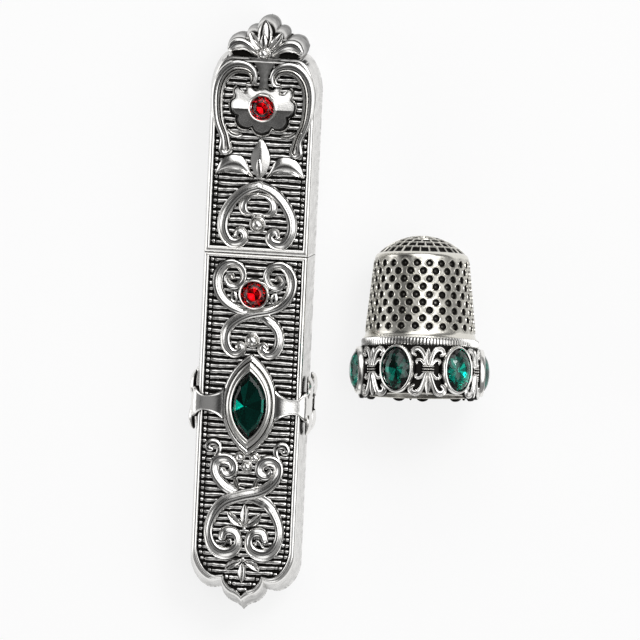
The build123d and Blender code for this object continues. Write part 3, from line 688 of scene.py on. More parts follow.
# Case
def upper_scroll():
    """Two crossing bands: volute under the seam, over the axis, and into a curled lower loop."""
    stations = [
        (-2.1, -13.3, 0.36), (-1.7, -12.95, 0.48), (-1.32, -13.35, 0.58), (-1.6, -14, 0.65),
        (-2.5, -14.35, 0.72), (-3.4, -13.8, 0.78), (-3.85, -12.8, 0.8), (-3.9, -11.7, 0.8),
        (-3.5, -10.55, 0.79), (-2.5, -9.55, 0.78), (-1.25, -8.8, 0.78), (0, -8.35, 0.8), (2, -7.95, 0.74),
        (3.9, -7.05, 0.74), (5.05, -5.6, 0.78), (5.4, -3.9, 0.82), (4.95, -2.3, 0.8), (3.7, -1.35, 0.66),
        (2.35, -1.65, 0.56), (1.66, -2.75, 0.52), (1.95, -4, 0.52), (2.9, -4.62, 0.55), (3.85, -4.2, 0.5),
        (4.05, -3.4, 0.4), (3.5, -2.95, 0.32), (3.05, -3.35, 0.26)]
    drops = both_sides(leaf((2.7, -7.15), (3.05, -5.25), 0.62, 0.8, section=PLAIN))
    return join(crossed(stations, 1.9, -9.2, -7.8, 240) + drops)


def lower_scroll():
    """Two crossing bands: wide volute, over the axis, round a loop and into a curl; small curls above."""
    stations = [
        (-3.05, -41, 0.66), (-2.8, -40.35, 0.7), (-1.95, -40.05, 0.7), (-1.1, -40.45, 0.66),
        (-0.75, -41.4, 0.64), (-0.95, -42.4, 0.76), (-1.8, -43.15, 0.92), (-3.05, -43.35, 0.97),
        (-4.3, -42.65, 0.88), (-5, -41.3, 0.74), (-5.15, -39.9, 0.7), (-4.75, -38.3, 0.76),
        (-3.95, -36.85, 0.84), (-2.85, -35.8, 0.9), (-1.45, -35.2, 0.9), (0, -34.75, 0.9),
        (1.6, -34.35, 0.88), (3, -33.65, 0.82), (4.1, -32.55, 0.78), (4.65, -31.2, 0.78),
        (4.4, -30.05, 0.8), (3.5, -29.6, 0.82), (2.4, -29.85, 0.8), (1.85, -30.75, 0.74), (2.1, -31.62, 0.72),
        (2.95, -31.85, 0.66), (3.42, -31.25, 0.46)]
    curl = strap([(4.5, -29.3, 0.32), (4.1, -28.5, 0.42), (4.25, -27.7, 0.48), (4.95, -27.35, 0.5),
                  (5.65, -27.7, 0.5), (5.65, -28.3, 0.46), (5.2, -28.4, 0.36)], PLAIN, 0.85, outer=-1)
    spur = leaf((0.9, -34.1), (1.5, -32.3), 0.42, 1, bow=-0.1)
    tongue = strap([(4.85, -40.5, 0.13), (4.4, -41.8, 0.15), (3.5, -42.35, 0.16), (2.7, -42.1, 0.16),
                    (2.3, -41.5, 0.17), (1.95, -41.35, 0.19), (1.8, -41.9, 0.22)], PLAIN, 0.95)
    pairs = both_sides(curl) + both_sides(spur) + both_sides(tongue)
    return join(crossed(stations, 2.9, -36, -33.7, 260) + pairs)


def sprigs():
    """Open three-leaf sprigs, one standing in the loops and one hanging under them."""
    leaves = [leaf((0, -39.3), (0, -36.1), 0.66, 0.9, section=SPRIG)]
    leaves.append(leaf((0, -44.6), (0, -47.5), 0.66, 0.9, section=SPRIG))
    leaves += both_sides(leaf((0.2, -39.3), (2.45, -37.35), 0.62, 0.85, section=SPRIG, bow=-0.08))
    leaves += both_sides(leaf((0.25, -44.4), (2.5, -45.75), 0.6, 0.85, section=SPRIG, bow=0.06))
    return join(leaves + [plain_bead(0, -39.75, 0.3), plain_bead(0, -44.1, 0.3)])


def body_beads():
    """Bead in the upper loops, and three under the waist frame's tip."""
    beads = ((0, -12.4, 1.1), (1.08, -29.35, 0.8), (-1.08, -29.35, 0.8), (0, -30.7, 0.86))
    return join([ringed_bead(*bead) for bead in beads])


def heart_scroll():
    """Turned-over heart with curled ends, the small arch inside it and two little knots by the bead."""
    heart = strap([(0, 10, 0.72), (1.6, 9.45, 0.74), (3.05, 8.35, 0.78), (4.15, 6.95, 0.81),
                   (4.85, 5.4, 0.82), (5, 3.95, 0.83), (4.55, 2.5, 0.82), (3.6, 1.62, 0.8),
                   (2.5, 1.72, 0.76), (1.8, 2.4, 0.68), (2, 3.25, 0.6), (2.72, 3.45, 0.52), (3, 2.9, 0.4)],
                  STRAP, 1, count=180)
    arch = strap([(0, 8.75, 0.3), (1.1, 8.5, 0.38), (1.85, 7.95, 0.5), (2.2, 7.15, 0.64), (2.1, 6.4, 0.62),
                  (1.55, 5.9, 0.44), (0.95, 5.82, 0.26)], STRAP, 0.85, count=90)
    knot = [(0, 0.55, 0), (0.15, 0.52, 0), (0.27, 0.35, 0.1), (0.3, 0, 1), (0.3, -SINK, 1), (0, -SINK, 1)]
    return join(both_sides(heart) + both_sides(arch) + both_sides(turned(knot, (0.72, 5.45), GROUND, 20)))


def horseshoe():
    """Wide strap round the cap's shoulders with flared feet and ends curled in over the rosette."""
    hoop = strap([(5.1, 15.2, 1.15), (5.15, 15.8, 0.92), (5.25, 16.6, 0.76), (5.6, 17.6, 0.76),
                  (6.1, 18.8, 0.78), (6.42, 20.3, 0.88), (6.55, 22, 0.92), (6.45, 23.8, 0.98),
                  (6.05, 25.15, 1.02), (5.3, 26.25, 1.06), (4.2, 26.95, 1.08), (3, 27, 0.98),
                  (2, 26.6, 0.82), (1.45, 25.85, 0.62), (1.42, 25.1, 0.48), (1.85, 24.6, 0.38),
                  (2.3, 24.6, 0.28)], HOOP, 1.2, count=220, outer=-1)
    inner_leaf = leaf((5.1, 18), (2.7, 17.2), 0.42, 0.9, section=SPRIG, bow=0.14)
    edge = [(-2.6, 28.3), (-1.6, 27.6), (-0.95, 26.5), (-0.62, 25.3), (-0.8, 24)]
    crest = blade(edge, flipped(edge), lambda along, across: 0.62 + 0.12 * np.sin(np.pi * across),
                  lambda along, across: 0.66 - 0.06 * np.sin(np.pi * across))
    return join(both_sides(hoop) + both_sides(inner_leaf) + [crest])


def rosette():
    """Six-lobed plate: thin bright edge, and wings folded along a line through the stone's foot; the wings
    below the fold are darkened with painted shade.
    """
    half = smooth_curve([
        (0, 24.35), (0.55, 24.1), (1.2, 23.85), (1.7, 24.05), (2.15, 24.55), (2.55, 24.3), (2.5, 23.5),
        (3, 23.35), (3.5, 23.75), (3.95, 24.25), (4.45, 23.8), (4.4, 23.1), (4.35, 22.55), (4.75, 22.2),
        (4.98, 21.7), (4.92, 21.1), (4.75, 20.5), (4.4, 20.05), (3.95, 19.9), (4, 19.3), (3.85, 18.6),
        (3.35, 18.05), (2.6, 17.85), (1.95, 17.95), (1.6, 18.15), (1.3, 17.7), (0.75, 17.2), (0, 17)], 200)
    line = np.concatenate([half, half[-2:0:-1] * (-1, 1)])
    centre = np.array([0, 21.3])
    out = line - centre
    way = out / np.linalg.norm(out, axis=1)[:, None]
    lobes = 0.03 * np.sin(6 * np.arctan2(way[:, 1], way[:, 0]))
    rows, dark = [], []
    for share in np.linspace(0.30, 0.90, 16):
        spot = centre + out * share
        above = spot[:, 1] - 21
        fold = 0.98 - np.where(above > 0, 0.26, 0.15) * np.abs(above)
        rows.append(at_height(spot, GROUND + np.maximum(fold, 0.12) + lobes * share))
        # Painted shade: the wings below the fold get a darker value, as if the light came from above.
        dark.append((0.06 if share < 0.84 else 0.42) + 0.30 * smooth_step(0.1, -0.5, above))
    edge = ((0.3, 0.4, 0.85), (0.22, 0.7, 0.1), (0.11, 0.8, 0), (0.03, 0.68, 0.2), (0, 0.35, 0.9),
            (0, -SINK, 1))
    rows += [at_height(line - way * inset, GROUND + height) for inset, height, _ in edge]
    dark += [np.full(len(line), value) for _, _, value in edge]
    rows += [at_height(centre + out * 0.30, GROUND - SINK), rows[0]]
    return grid(rows, dark + [np.ones(len(line)), dark[0]])


def cap_leaves():
    """Folded lance leaf with a small leaf on its foot, between two humped side leaves."""
    def folded(along, across):
        """Flanks that fall from a ridge along the middle; the ridge sinks towards both ends."""
        ridge = 1 - np.abs(across - 0.5) * 2
        return 0.6 + 0.34 * ridge * np.sin(np.pi * np.clip(along * 0.9 + 0.05, 0, 1)) ** 0.6

    def humped(along, across):
        """Hump over the middle, with a raised lip near the lower edge and a groove beside it."""
        hump = 0.45 + 0.55 * np.sin(np.pi * along).clip(0) ** 0.8 * np.sin(np.pi * (0.12 + 0.8 * across))
        lip = 0.30 * np.exp(-((across - 0.12) / 0.09) ** 2)
        return hump + lip - 0.12 * np.exp(-((across - 0.3) / 0.07) ** 2)

    lance_edge = [(0, 16.9), (0.62, 16.1), (1.2, 15), (1.5, 13.9), (1.35, 12.8), (0.85, 11.8), (0, 10.8)]
    lance = blade(flipped(lance_edge), lance_edge, folded,
                  lambda along, across: 0.44 - 0.5 * np.abs(across - 0.5))
    foot_leaf = leaf((0.1, 10.9), (-0.2, 14.2), 0.48, 1.02, GROUND + 0.1, PLAIN)
    lower = [(0.75, 11), (1.6, 11.45), (3, 11.75), (4.5, 11.72), (5.6, 11.5), (6.45, 11.35)]
    upper = [(0.75, 11), (1.45, 12.3), (2.3, 13.8), (3.6, 14.35), (5.2, 13.85), (6.45, 11.35)]
    side = blade(lower, upper, humped, lambda along, across: 0.45 * np.exp(-((across - 0.27) / 0.05) ** 2))
    return join([lance, foot_leaf] + both_sides(side))


def round_collet(y, radius):
    """Tapering ring with a bright round lip that holds a round stone."""
    section = [(-0.02, 1.45, 0.3), (0, 1.66, 0), (0.07, 1.77, 0), (0.17, COLLET_HEIGHT, 0), (0.28, 1.72, 0),
               (0.35, 1.5, 0.1), (0.38, 1.1, 0.35), (0.4, 0.6, 0.8), (0.4, -SINK, 1), (-0.02, -SINK, 1),
               (-0.02, 1.45, 0.3)]
    return turned(np.array(section) + (radius, 0, 0), (0, y), GROUND, 64)


def pointed_oval(half_width, half_length, count, way=1):
    """Closed outline of two arcs meeting at the tips, about the waist; way -1 starts at the upper tip."""
    radius = (half_width ** 2 + half_length ** 2) / (2 * half_width)
    sweep = way * np.arcsin(half_length / radius)
    angle = np.linspace(-sweep, sweep, count)[:-1]
    right = np.column_stack([radius * np.cos(angle) - (radius - half_width), radius * np.sin(angle)])
    return np.concatenate([right, -right]) + (0, WAIST_Y)


def oval_rings(*profile):
    """Closed surface through pointed ovals: each row gives half width, half length, height and oxide."""
    profile += profile[:1]
    rows = [at_height(pointed_oval(w, l, 120), GROUND + h) for w, l, h, _ in profile]
    return grid(rows, oxide_and_shade_values(profile))


def waist_collet():
    """Pointed oval collet: bright inner lip, groove, and a second lip outside it."""
    return oval_rings(
        (2.48, 4.87, 1.4, 0.3), (2.49, 4.9, 1.62, 0), (2.54, 4.99, 1.74, 0), (2.62, 5.12, 1.77, 0),
        (2.72, 5.3, 1.72, 0.05), (2.79, 5.42, 1.61, 0.55), (2.83, 5.49, 1.6, 0.55), (2.91, 5.62, 1.7, 0),
        (3.04, 5.85, 1.66, 0), (3.18, 6.1, 1.56, 0), (3.29, 6.28, 1.43, 0.1), (3.34, 6.37, 1.15, 0.5),
        (3.35, 6.4, 0.8, 0.95), (3.35, 6.4, -SINK, 1), (2.48, 4.87, -SINK, 1))


def waist_mount():
    """Frame round the collet, with arms that cross the rim and end in leaf loops on the sides."""
    frame_ring = oval_rings(
        (3.37, 6.44, 0.3, 1), (3.38, 6.46, 1, 0.9), (3.45, 6.56, 1.2, 0.3), (3.56, 6.71, 1.27, 0),
        (3.7, 6.92, 1.25, 0), (3.84, 7.12, 1.16, 0), (3.96, 7.29, 1.03, 0.05), (4.03, 7.37, 0.8, 0.4),
        (4.05, 7.4, 0.5, 0.9), (4.05, 7.4, -SINK, 1), (3.37, 6.44, -SINK, 1))
    loops = both_sides(side_loop(1)) + both_sides(side_loop(-1))
    return join([frame_ring] + both_sides(waist_arm()) + loops)


def waist_arm():
    """Plate from the frame over the rim and down the side: edges flare in hollow curves at both ends."""
    line = smooth_curve([
        (3.75, 1.42, 2.35), (4.1, 1.46, 1.98), (4.7, 1.42, 1.6), (5.5, 1.26, 1.25), (6.3, 1.08, 1.1),
        (6.9, 0.96, 1.16), (7.35, 0.88, 1.4), (7.75, 0.76, 1.8), (8.15, 0.5, 2.15), (8.45, 0.05, 2.2),
        (8.62, -0.6, 1.9), (8.72, -1.6, 1.6), (8.8, -2.6, 1.2)], 60)
    normal = ways(line)[1]
    normal *= np.sign(normal[0, 1])
    top = []
    for across, lift, _ in ARM:
        x, z = (line[:, :2] + normal * lift).T
        top.append(np.column_stack([x, WAIST_Y + across * line[:, 2], GROUND + z]))
    under = np.array(top[::-1]) - 0.55 * np.insert(normal, 1, 0, axis=1)
    return grid(np.concatenate([top, under]).transpose(1, 0, 2), np.append(ARM[:, 2], np.ones(len(ARM))))


def side_loop(turn):
    """Leaf on the case's side: a bar of oval section that stands off it and closes in at its tip."""
    along, high, out, radius = smooth_curve([
        (0.9, 2.9, 8.32, 0.4), (2, 2.95, 8.44, 0.46), (3.1, 2.85, 8.42, 0.44), (3.9, 2.6, 8.28, 0.34),
        (4.3, 2.4, 8.14, 0.2)], 40).T
    ends = np.minimum(np.minimum(np.arange(40), np.arange(40)[::-1]) / 4, 1)
    radius = radius * np.sqrt(1 - (1 - ends) ** 2)
    angle = circle(16)
    rows = [np.column_stack([out + radius * np.sin(a), WAIST_Y + turn * along,
                             high + 3.2 * radius * np.cos(a)]) for a in angle]
    shade = np.maximum(smooth_step(0.1, -0.7, np.sin(angle)), 0.3 * (np.abs(np.cos(angle)) < 0.5))
    return grid(np.array(rows).transpose(1, 0, 2), shade)


def finial():
    """Lobed block on the cap's top: a union of circles that draw in towards the front and round over, greyed
    and blackened with painted shade.

    Along each ray from the block's foot the outline is the far crossing of the circle that reaches
    furthest. Each level is that outline drawn in by an inset, and the back mirrors the front.
    """
    angle = np.linspace(-0.6, np.pi + 0.6, 360)
    centre = np.array([0, CAP_LENGTH - 0.4])
    way = np.column_stack([np.cos(angle), np.sin(angle)])
    reach = np.full(len(angle), 2.4)
    circles = ((0, 3.75, 1.5), (1.95, 2.75, 1.1), (-1.95, 2.75, 1.1), (4, 0.8, 1.75), (-4, 0.8, 1.75))
    for x, lift, radius in circles:
        offset = np.array([x, CAP_LENGTH + lift]) - centre
        miss = np.abs(way[:, 0] * offset[1] - way[:, 1] * offset[0])
        far = way @ offset + np.sqrt(np.clip(radius ** 2 - miss ** 2, 0, None))
        reach = np.maximum(reach, np.where(miss < radius, far, 0))
    # Levels: height, inset and a dark value. The dark values are painted shade that greys the lobes' sides,
    # most towards the middle plane, and painted shadow that blackens the rounded front edge.
    levels = ((0, 0, 0.64), (0.8, 0.03, 0.6), (1.8, 0.08, 0.57), (2.6, 0.15, 0.54), (3, 0.22, 0.5),
              (3.35, 0.31, 0.42), (3.62, 0.41, 0.36), (3.82, 0.52, 0.36), (3.97, 0.66, 0.5),
              (4.05, 0.8, 0.8), (FINIAL_FRONT, 0.92, 1))
    rows = [at_height(centre + way * (reach - inset)[:, None], height) for height, inset, _ in levels]
    rows += [at_height(centre + (rows[-1][:, :2] - centre) * share, FINIAL_FRONT) for share in (0.6, 0)]
    top = np.array(rows)
    # The front face inward of the levels is black with painted shadow behind the palmette.
    dark = np.array([row[2] for row in levels] + [1, 1])
    back = top[::-1] * (1, 1, -1)
    return grid(np.concatenate([back, top[1:]]), np.append(dark[::-1], dark[1:])[:, None])


def palmette():
    """Centre leaf over a smaller one, two side leaves, two drooping outer leaves, and a ringed bead."""
    base = FINIAL_FRONT
    leaves = [leaf((-0.1, 29.5), (-0.15, 33.85), 1.12, 0.8, base, power=0.75)]
    leaves.append(leaf((-0.2, 29.3), (-0.25, 32), 0.56, 1.15, base, PLAIN))
    leaves += both_sides(leaf((0.5, 29.6), (2.25, 32.05), 0.72, 0.85, base, SPRIG, bow=-0.06))
    leaves += both_sides(leaf((0.75, 29.3), (3.1, 31.1), 0.55, 0.7, base, SPRIG, bow=0.08))
    drooping = strap([(1.2, 28.95, 0.3), (2.1, 29.65, 0.6), (3.2, 30.2, 0.84), (4.3, 30.1, 0.9),
                      (4.95, 29.55, 0.55)], STRAP, 0.95, base, count=70, outer=-1)
    leaves += both_sides(drooping)
    points, faces, dark = join(leaves)
    dark = np.where(points[:, 2] < base + 0.01, 0.7, np.minimum(dark + 0.14, 1))
    foot = [(0, 0.4, 0.6), (1.6, 0.3, 0.62), (2.2, 0.05, 0.7), (2.3, -0.1, 1), (0, -0.1, 1)]
    bead = ringed_bead(-0.2, 29, 1.02, base + 0.1)
    return join([(points, faces, dark), turned(foot, (0, 29.6), base, 32), bead])


def case_pieces():
    """Castings, ornament and settings of the case, front and back, and the finial block."""
    makers = {
        "body_shell": lambda: casting(body_loop, 0, -BODY_LAND, FOOT_FLARE, -BODY_HOLLOW, 0,
                                      (-49.48, -0.8, 0.3)),
        "body_upper_scroll": upper_scroll,
        "body_lower_scroll": lower_scroll,
        "body_sprigs": sprigs,
        "body_beads": body_beads,
        "body_collet": lambda: round_collet(-5.6, 1.85),
        "waist_collet": waist_collet,
        "waist_mount": waist_mount,
        "cap_shell": lambda: casting(cap_loop, SEAM_GAP, CAP_LAND, TOP_FLARE, CAP_HOLLOW, CAP_CLEARANCE,
                                     (1.55, 27.2, 1.1)),
        "cap_heart_scroll": heart_scroll,
        "cap_horseshoe": horseshoe,
        "cap_rosette": rosette,
        "cap_leaves": cap_leaves,
        "cap_bead": lambda: ringed_bead(0, 4.4, 1.2),
        "cap_collet": lambda: round_collet(21.3, 1.7),
        "finial_palmette": palmette,
    }
    for node, maker in makers.items():
        body = "case_body" if node.startswith(("body", "waist")) else "cap"
        look = case_silver, body, "antique_silver"
        if "collet" in node:
            look = setting_silver, body, "collet_silver"
        made = maker()
        patch, flats = made if len(made) == 2 else (made, ())
        add_piece(f"cast_{node}_front", patch, *look, f"{node}_front", flats)
        behind = [(points * (1, 1, -1), value) for points, value in flats]
        add_piece(f"cast_{node}_back", mirrored(patch, 2), *look, f"{node}_back", behind)
    add_piece("cast_cap_finial", finial(), case_silver, "cap", "antique_silver", "cap_finial")


# Stones
def cut_rings(outline, levels, apex, wobble):
    """Corners of a cut stone, ring by ring: the outline at each share; a turned ring has its corners
    at the middles of the outline's sides. Faces between a plain and a turned ring are triangles. The
    lowest ring is moved by the apex offset, and the corners of a girdle right above it go down and up
    in turn by the wobble."""
    outline = np.array(outline)
    centre = outline.mean(axis=0)
    count = len(outline)
    points, faces = [], []
    for number, (height, share, turned_ring) in enumerate(levels):
        ring = (outline + np.roll(outline, -1, axis=0)) / 2 if turned_ring else outline
        ring = centre + (ring - centre) * share + (apex if number == 0 else (0, 0))
        if number == 1 and share == 1:
            height = height + wobble * (-1.0) ** (np.arange(count) + 1)
        points.append(at_height(ring, height))
    here = np.arange(count)
    after = (here + 1) % count
    for k in range(len(levels) - 1):
        a, b, c, d = k * count + here, k * count + after, (k + 1) * count + here, (k + 1) * count + after
        if levels[k][2] == levels[k + 1][2]:
            kinds = [(a, b, d, c)]
        elif levels[k + 1][2]:
            kinds = [(a, b, c), (b, d, c)]
        else:
            kinds = [(a, d, c), (a, b, d)]
        for corners in kinds:
            faces += np.column_stack(corners).tolist()
    faces.append(list(range((len(levels) - 1) * count, len(levels) * count)))
    faces.append(list(range(count))[::-1])
    return np.concatenate(points), faces


def add_stone(name, outline, levels, slot, body, node, place, glints, apex=(0, 0), wobble=0):
    """Cut stone in clear glass; faces at or below the girdle are its coloured foil, each face darkened or
    brightened in turn by a painted reflection value.
    """
    points, faces = cut_rings(outline, levels, apex, wobble)
    girdle = max(height for height, share, _ in levels if share == 1)
    tops = [max(points[corner][2] for corner in face) for face in faces]
    # Painted reflections: each face takes the next brightness from the list.
    face_glints = [glints[k % len(glints)] for k in range(len(faces))]
    materials = STONE_MATERIALS[slot]
    mesh = new_mesh(name, place(points), faces, materials, "facet_glint", "FACE", face_glints, merge=False)
    for face, top in zip(mesh.polygons, tops):
        face.material_index = int(top <= girdle + 1e-6)
    place_piece(name, mesh, body, node)


def round_outline(y, radius):
    """Ten corners of a round girdle on the case's axis."""
    angle = circle(10) + 0.2
    return np.column_stack([radius * np.cos(angle), y + radius * np.sin(angle)])


def case_stones():
    """Round red stones and pointed oval green ones, front and back.

    Levels give the height off the panel, the share of the outline, and whether the ring is turned.
    """
    red = ((0.42, 0.06, False), (0.6, 0.5, True), (0.94, 1, False), (1.1, 1, False), (1.48, 0.82, True),
           (1.74, 0.52, False))
    green = ((0.5, 0.03, False), (1, 1, False), (1.3, 1, False), (1.55, 0.9, False), (1.74, 0.78, False))
    waist = pointed_oval(2.46, 4.8, 6, way=-1)
    settings = (
        ("body_red_stone", round_outline(-5.6, 1.82), red, "red_glass", "case_body", RED_GLINTS, (0, 0), 0),
        ("cap_red_stone", round_outline(21.3, 1.67), red, "red_glass", "cap", RED_GLINTS, (0, 0), 0),
        ("waist_green_stone", waist, green, "green_glass", "case_body", MARQUISE_GLINTS, (-0.75, -0.25), 0.13))
    for node, outline, levels, slot, body, glints, apex, wobble in settings:
        raised = [(GROUND + height, *rest) for height, *rest in levels]
        for side, way in (("front", 1), ("back", -1)):
            add_stone(f"cut_{node}_{side}", outline, raised, slot, body, f"{node}_{side}",
                      lambda points: points * (1, 1, way), glints, apex, wobble)


# Thimble
def lay_down(points):
    """Thimble points, standing with its rim at zero, turned onto its side beside the case."""
    tilt, yaw = np.radians(-(90 + THIMBLE_TILT)), np.radians(THIMBLE_YAW)
    x, y, z = points.T
    y, z = y * np.cos(tilt) - z * np.sin(tilt), y * np.sin(tilt) + z * np.cos(tilt)
    x, y = x * np.cos(yaw) - y * np.sin(yaw), x * np.sin(yaw) + y * np.cos(yaw)
    return np.column_stack([x, y, z]) + THIMBLE_PLACE


def laid(patch):
    """Patch of the standing thimble, laid down."""
    return lay_down(patch[0]), *patch[1:]


def around_band(patch, angle):
    """Flat patch wrapped on the band: x runs round from the angle in degrees, y up, z out of the band."""
    x, y, z = patch[0].T
    return round_row(BAND_RADIUS + z, np.radians(angle) + x / BAND_RADIUS, y), *patch[1:]


def facing(points, angle):
    """Points of a setting, x across, y up and z out of the band, set square on the band at the angle."""
    x, y, z = points.T
    turn = np.radians(angle)
    out = BAND_RADIUS + z
    return np.column_stack([out * np.cos(turn) - x * np.sin(turn), out * np.sin(turn) + x * np.cos(turn), y])


def cone_radius(height):
    """Radius of the thimble's tapering side at a height."""
    slope = (CONE_FOOT_RADIUS - CONE_TOP_RADIUS) / (CONE_TOP - CONE_FOOT)
    return CONE_FOOT_RADIUS - slope * (height - CONE_FOOT)


def pit_cell(middle, height, below, above):
    """Diamond-shaped cell of the side about one pit, from its rim in to the pit's floor.

    The cell reaches half a pit's spacing to either side and the given distances down and up. Rings
    between its rim and its middle follow the round pit, drawn in where the cell is too tight.
    """
    step = 180 / PITS_ROUND
    share = np.arange(CELL_SIDE) / CELL_SIDE
    corners = [(step, 0.0), (0.0, above), (-step, 0.0), (0.0, -below), (step, 0.0)]
    rim = np.concatenate([np.outer(1 - share, a) + np.outer(share, b)
                          for a, b in zip(corners[:-1], corners[1:])])
    scale = np.radians(1) * cone_radius(height)
    flat = rim * (scale, 1)
    reach = np.linalg.norm(flat, axis=1)[:, None]
    room = np.minimum(1, 0.95 * reach / (PIT_SECTION[0][0] * PIT_RADIUS))
    rings = [(flat, 0)]
    rings += [(flat / reach * room * PIT_RADIUS * place, move) for place, move, _ in PIT_SECTION]
    rows = []
    for spot, move in rings:
        level = height + spot[:, 1]
        rows.append(round_row(cone_radius(level) + move, np.radians(middle + spot[:, 0] / scale), level))
    return grid(rows, [[CELL_OXIDE]] + oxide_and_shade_values(PIT_SECTION))


def edge_filler(middle, edge, tip):
    """Triangle of the plain side between two cells, from the straight edge to their shared corner."""
    rows = []
    for t in np.linspace(0, 1, CELL_SIDE + 1):
        step = 180 / PITS_ROUND * (1 - t)
        level = edge + (tip - edge) * t
        turn = np.radians(np.linspace(middle - step, middle + step, 2 * CELL_SIDE + 1))
        rows.append(round_row(cone_radius(level), turn, level))
    return grid(rows, 0.42, wrap=False)


def pitted_side():
    """Tapering side: staggered rows of pit cells, with plain triangles along both straight edges."""
    patches = []
    spacing = 360 / PITS_ROUND
    last = PIT_ROWS - 1
    for row in range(PIT_ROWS):
        height = PIT_FIRST + row * PIT_PITCH
        below = PIT_PITCH if row else height - CONE_FOOT
        above = PIT_PITCH if row < last else SIDE_TOP - height
        for k in range(PITS_ROUND):
            patches.append(pit_cell(PIT_PHASE + (k + 0.5 * (row % 2)) * spacing, height, below, above))
    for k in range(PITS_ROUND):
        middle = PIT_PHASE + (k + 0.5) * spacing
        patches.append(edge_filler(middle, CONE_FOOT, PIT_FIRST))
        shifted = middle + 0.5 * (last % 2) * spacing
        patches.append(edge_filler(shifted, SIDE_TOP, PIT_FIRST + last * PIT_PITCH))
    return patches


def thimble_shell():
    """Turned thimble as one closed surface.

    Profile rows run from the middle of the inside, down to the rim, up the band and over the flared
    lip; then the pitted side; then the shoulder and the dome, part of a ball with rings of square pits.
    """
    columns = PITS_ROUND * CELL_SIDE * 2
    degree = np.arange(columns) * 360 / columns
    angle = np.radians(PIT_PHASE + degree)
    low = ((0, 22, 0.5), (2, 21.8, 0.5), (4, 21.25, 0.5), (5.6, 20.5, 0.5), (5.95, 19.7, 0.5),
           (6.95, CONE_FOOT, 0.5), (7.4, 0.75, 0.5), (7.4, 0.33, 0.5), (7.5, 0.25, 0.2), (8.05, 0.25, 0.2),
           (BAND_RADIUS, 0.33, 0.5), (BAND_RADIUS, 0.8, 1), (BAND_RADIUS, 4, 1), (BAND_RADIUS, 7.2, 1),
           (BAND_RADIUS, 8.35, 0.6), (8.13, 8.5, 0), (8.02, 8.66, 0), (7.94, 8.8, 0), (7.9, 8.95, 0.1),
           (7.87, 9.08, 0.2), (CONE_FOOT_RADIUS, CONE_FOOT, 0.3))
    shoulder = ((cone_radius(SIDE_TOP), SIDE_TOP, 0.2), (6.7, 20.08, 0.1), (6.66, 20.22, 0),
                (6.6, 20.36, 0), (6.5, 20.5, 0), (6.38, 20.6, 0.1), (DOME_RADIUS, DOME_FOOT, 0.3))
    below = grid([round_row(radius, angle, height) for radius, height, _ in low], oxide_and_shade_values(low))
    rows = [round_row(radius, angle, height) for radius, height, _ in shoulder]
    dark = [np.full(columns, row[2]) for row in shoulder]
    rise = DOME_TOP - DOME_FOOT
    ball = (DOME_RADIUS ** 2 + rise ** 2) / (2 * rise)
    for ring, (outer, inner, number) in enumerate(DOME_RINGS):
        spot = degree * number / 360 + 0.5 * (ring % 2) + 0.25
        across = smooth_step(0.86, 0.66, np.abs(spot - np.round(spot)) * 2)
        for part in (0, 0.06, 0.13, 0.2, 0.35, 0.5, 0.65, 0.8, 0.87, 0.94):
            radius = outer + (inner - outer) * part
            hole = across * smooth_step(0.04, 0.15, min(part, 1 - part))
            height = DOME_TOP - (ball - np.sqrt(ball ** 2 - radius ** 2)) - DOME_PIT_DEPTH * hole
            rows.append(round_row(radius, angle, height))
            dark.append(0.33 + 0.67 * smooth_step(0.2, 0.75, hole))
    above = grid(rows + [round_row(0, angle, DOME_TOP)], dark + [np.full(columns, 0.5)])
    return join([below, above] + pitted_side())


def bead_ring():
    """Fluted ring over the band's top: an upright rounded section, sunk to a groove between ridges."""
    angle = circle(108 * 6)
    ridge = smooth_step(0.15, 0.8, np.abs(np.cos(54 * angle)))
    rows, dark = [], []
    for radius, height, value in (
            (7.8, 7.12, 1), (8.12, 7.14, 0.9), (8.3, 7.22, 0.3), (8.41, 7.38, 0), (8.45, 7.62, 0),
            (8.45, 7.9, 0), (8.42, 8.14, 0), (8.33, 8.32, 0), (8.2, 8.42, 0.05),
            (8.08, 8.46, 0.4), (7.8, 8.46, 1)):
        sunk = 0.26 * (1 - ridge) * smooth_step(7.8, 8.3, radius)
        rows.append(round_row(radius - sunk, angle, height))
        dark.append(np.maximum(value, smooth_step(0.7, 0.2, ridge)))
    return grid(rows + rows[:1], dark + dark[:1])


def fleur():
    """Double-ended fleur-de-lis: petals, curled leaves and small curls above and below a banded tie."""
    halves = (
        (1, 3.05, 0.4,
         [(0.2, 0.5, 0.24), (0.42, 1.4, 0.33), (0.75, 2.3, 0.38), (1.3, 2.85, 0.4), (1.9, 2.75, 0.38),
          (2.1, 2.25, 0.32), (1.8, 2, 0.27)],
         [(0.4, 0.45, 0.22), (0.75, 0.95, 0.26), (1.2, 1.3, 0.26), (1.6, 1.15, 0.23), (1.52, 0.8, 0.2)]),
        (-1, -3.75, 0.46,
         [(0.2, -0.5, 0.24), (0.48, -1.5, 0.34), (0.85, -2.6, 0.4), (1.45, -3.4, 0.48), (2.1, -3.35, 0.46),
          (2.35, -2.75, 0.38), (2, -2.35, 0.3)],
         [(0.4, -0.45, 0.22), (0.8, -0.95, 0.26), (1.28, -1.3, 0.26), (1.7, -1.1, 0.23), (1.58, -0.75, 0.2)]))
    forms = []
    for way, tip, width, curl, bud in halves:
        forms.append(leaf((0, 0.5 * way), (0, tip), width, 0.55, 0, SPRIG))
        forms += both_sides(strap(curl, CURL, 0.6, 0, 60, way))
        forms += both_sides(strap(bud, CURL, 0.5, 0, 40, way))
    forms += [strap([(-0.66, y, 0.155), (0.66, y, 0.155)], CURL, 0.8, 0, 12) for y in (-0.4, 0, 0.4)]
    points, faces, oxide_and_shade = join(forms)
    return points + (0, BAND_MIDDLE, 0), faces, oxide_and_shade


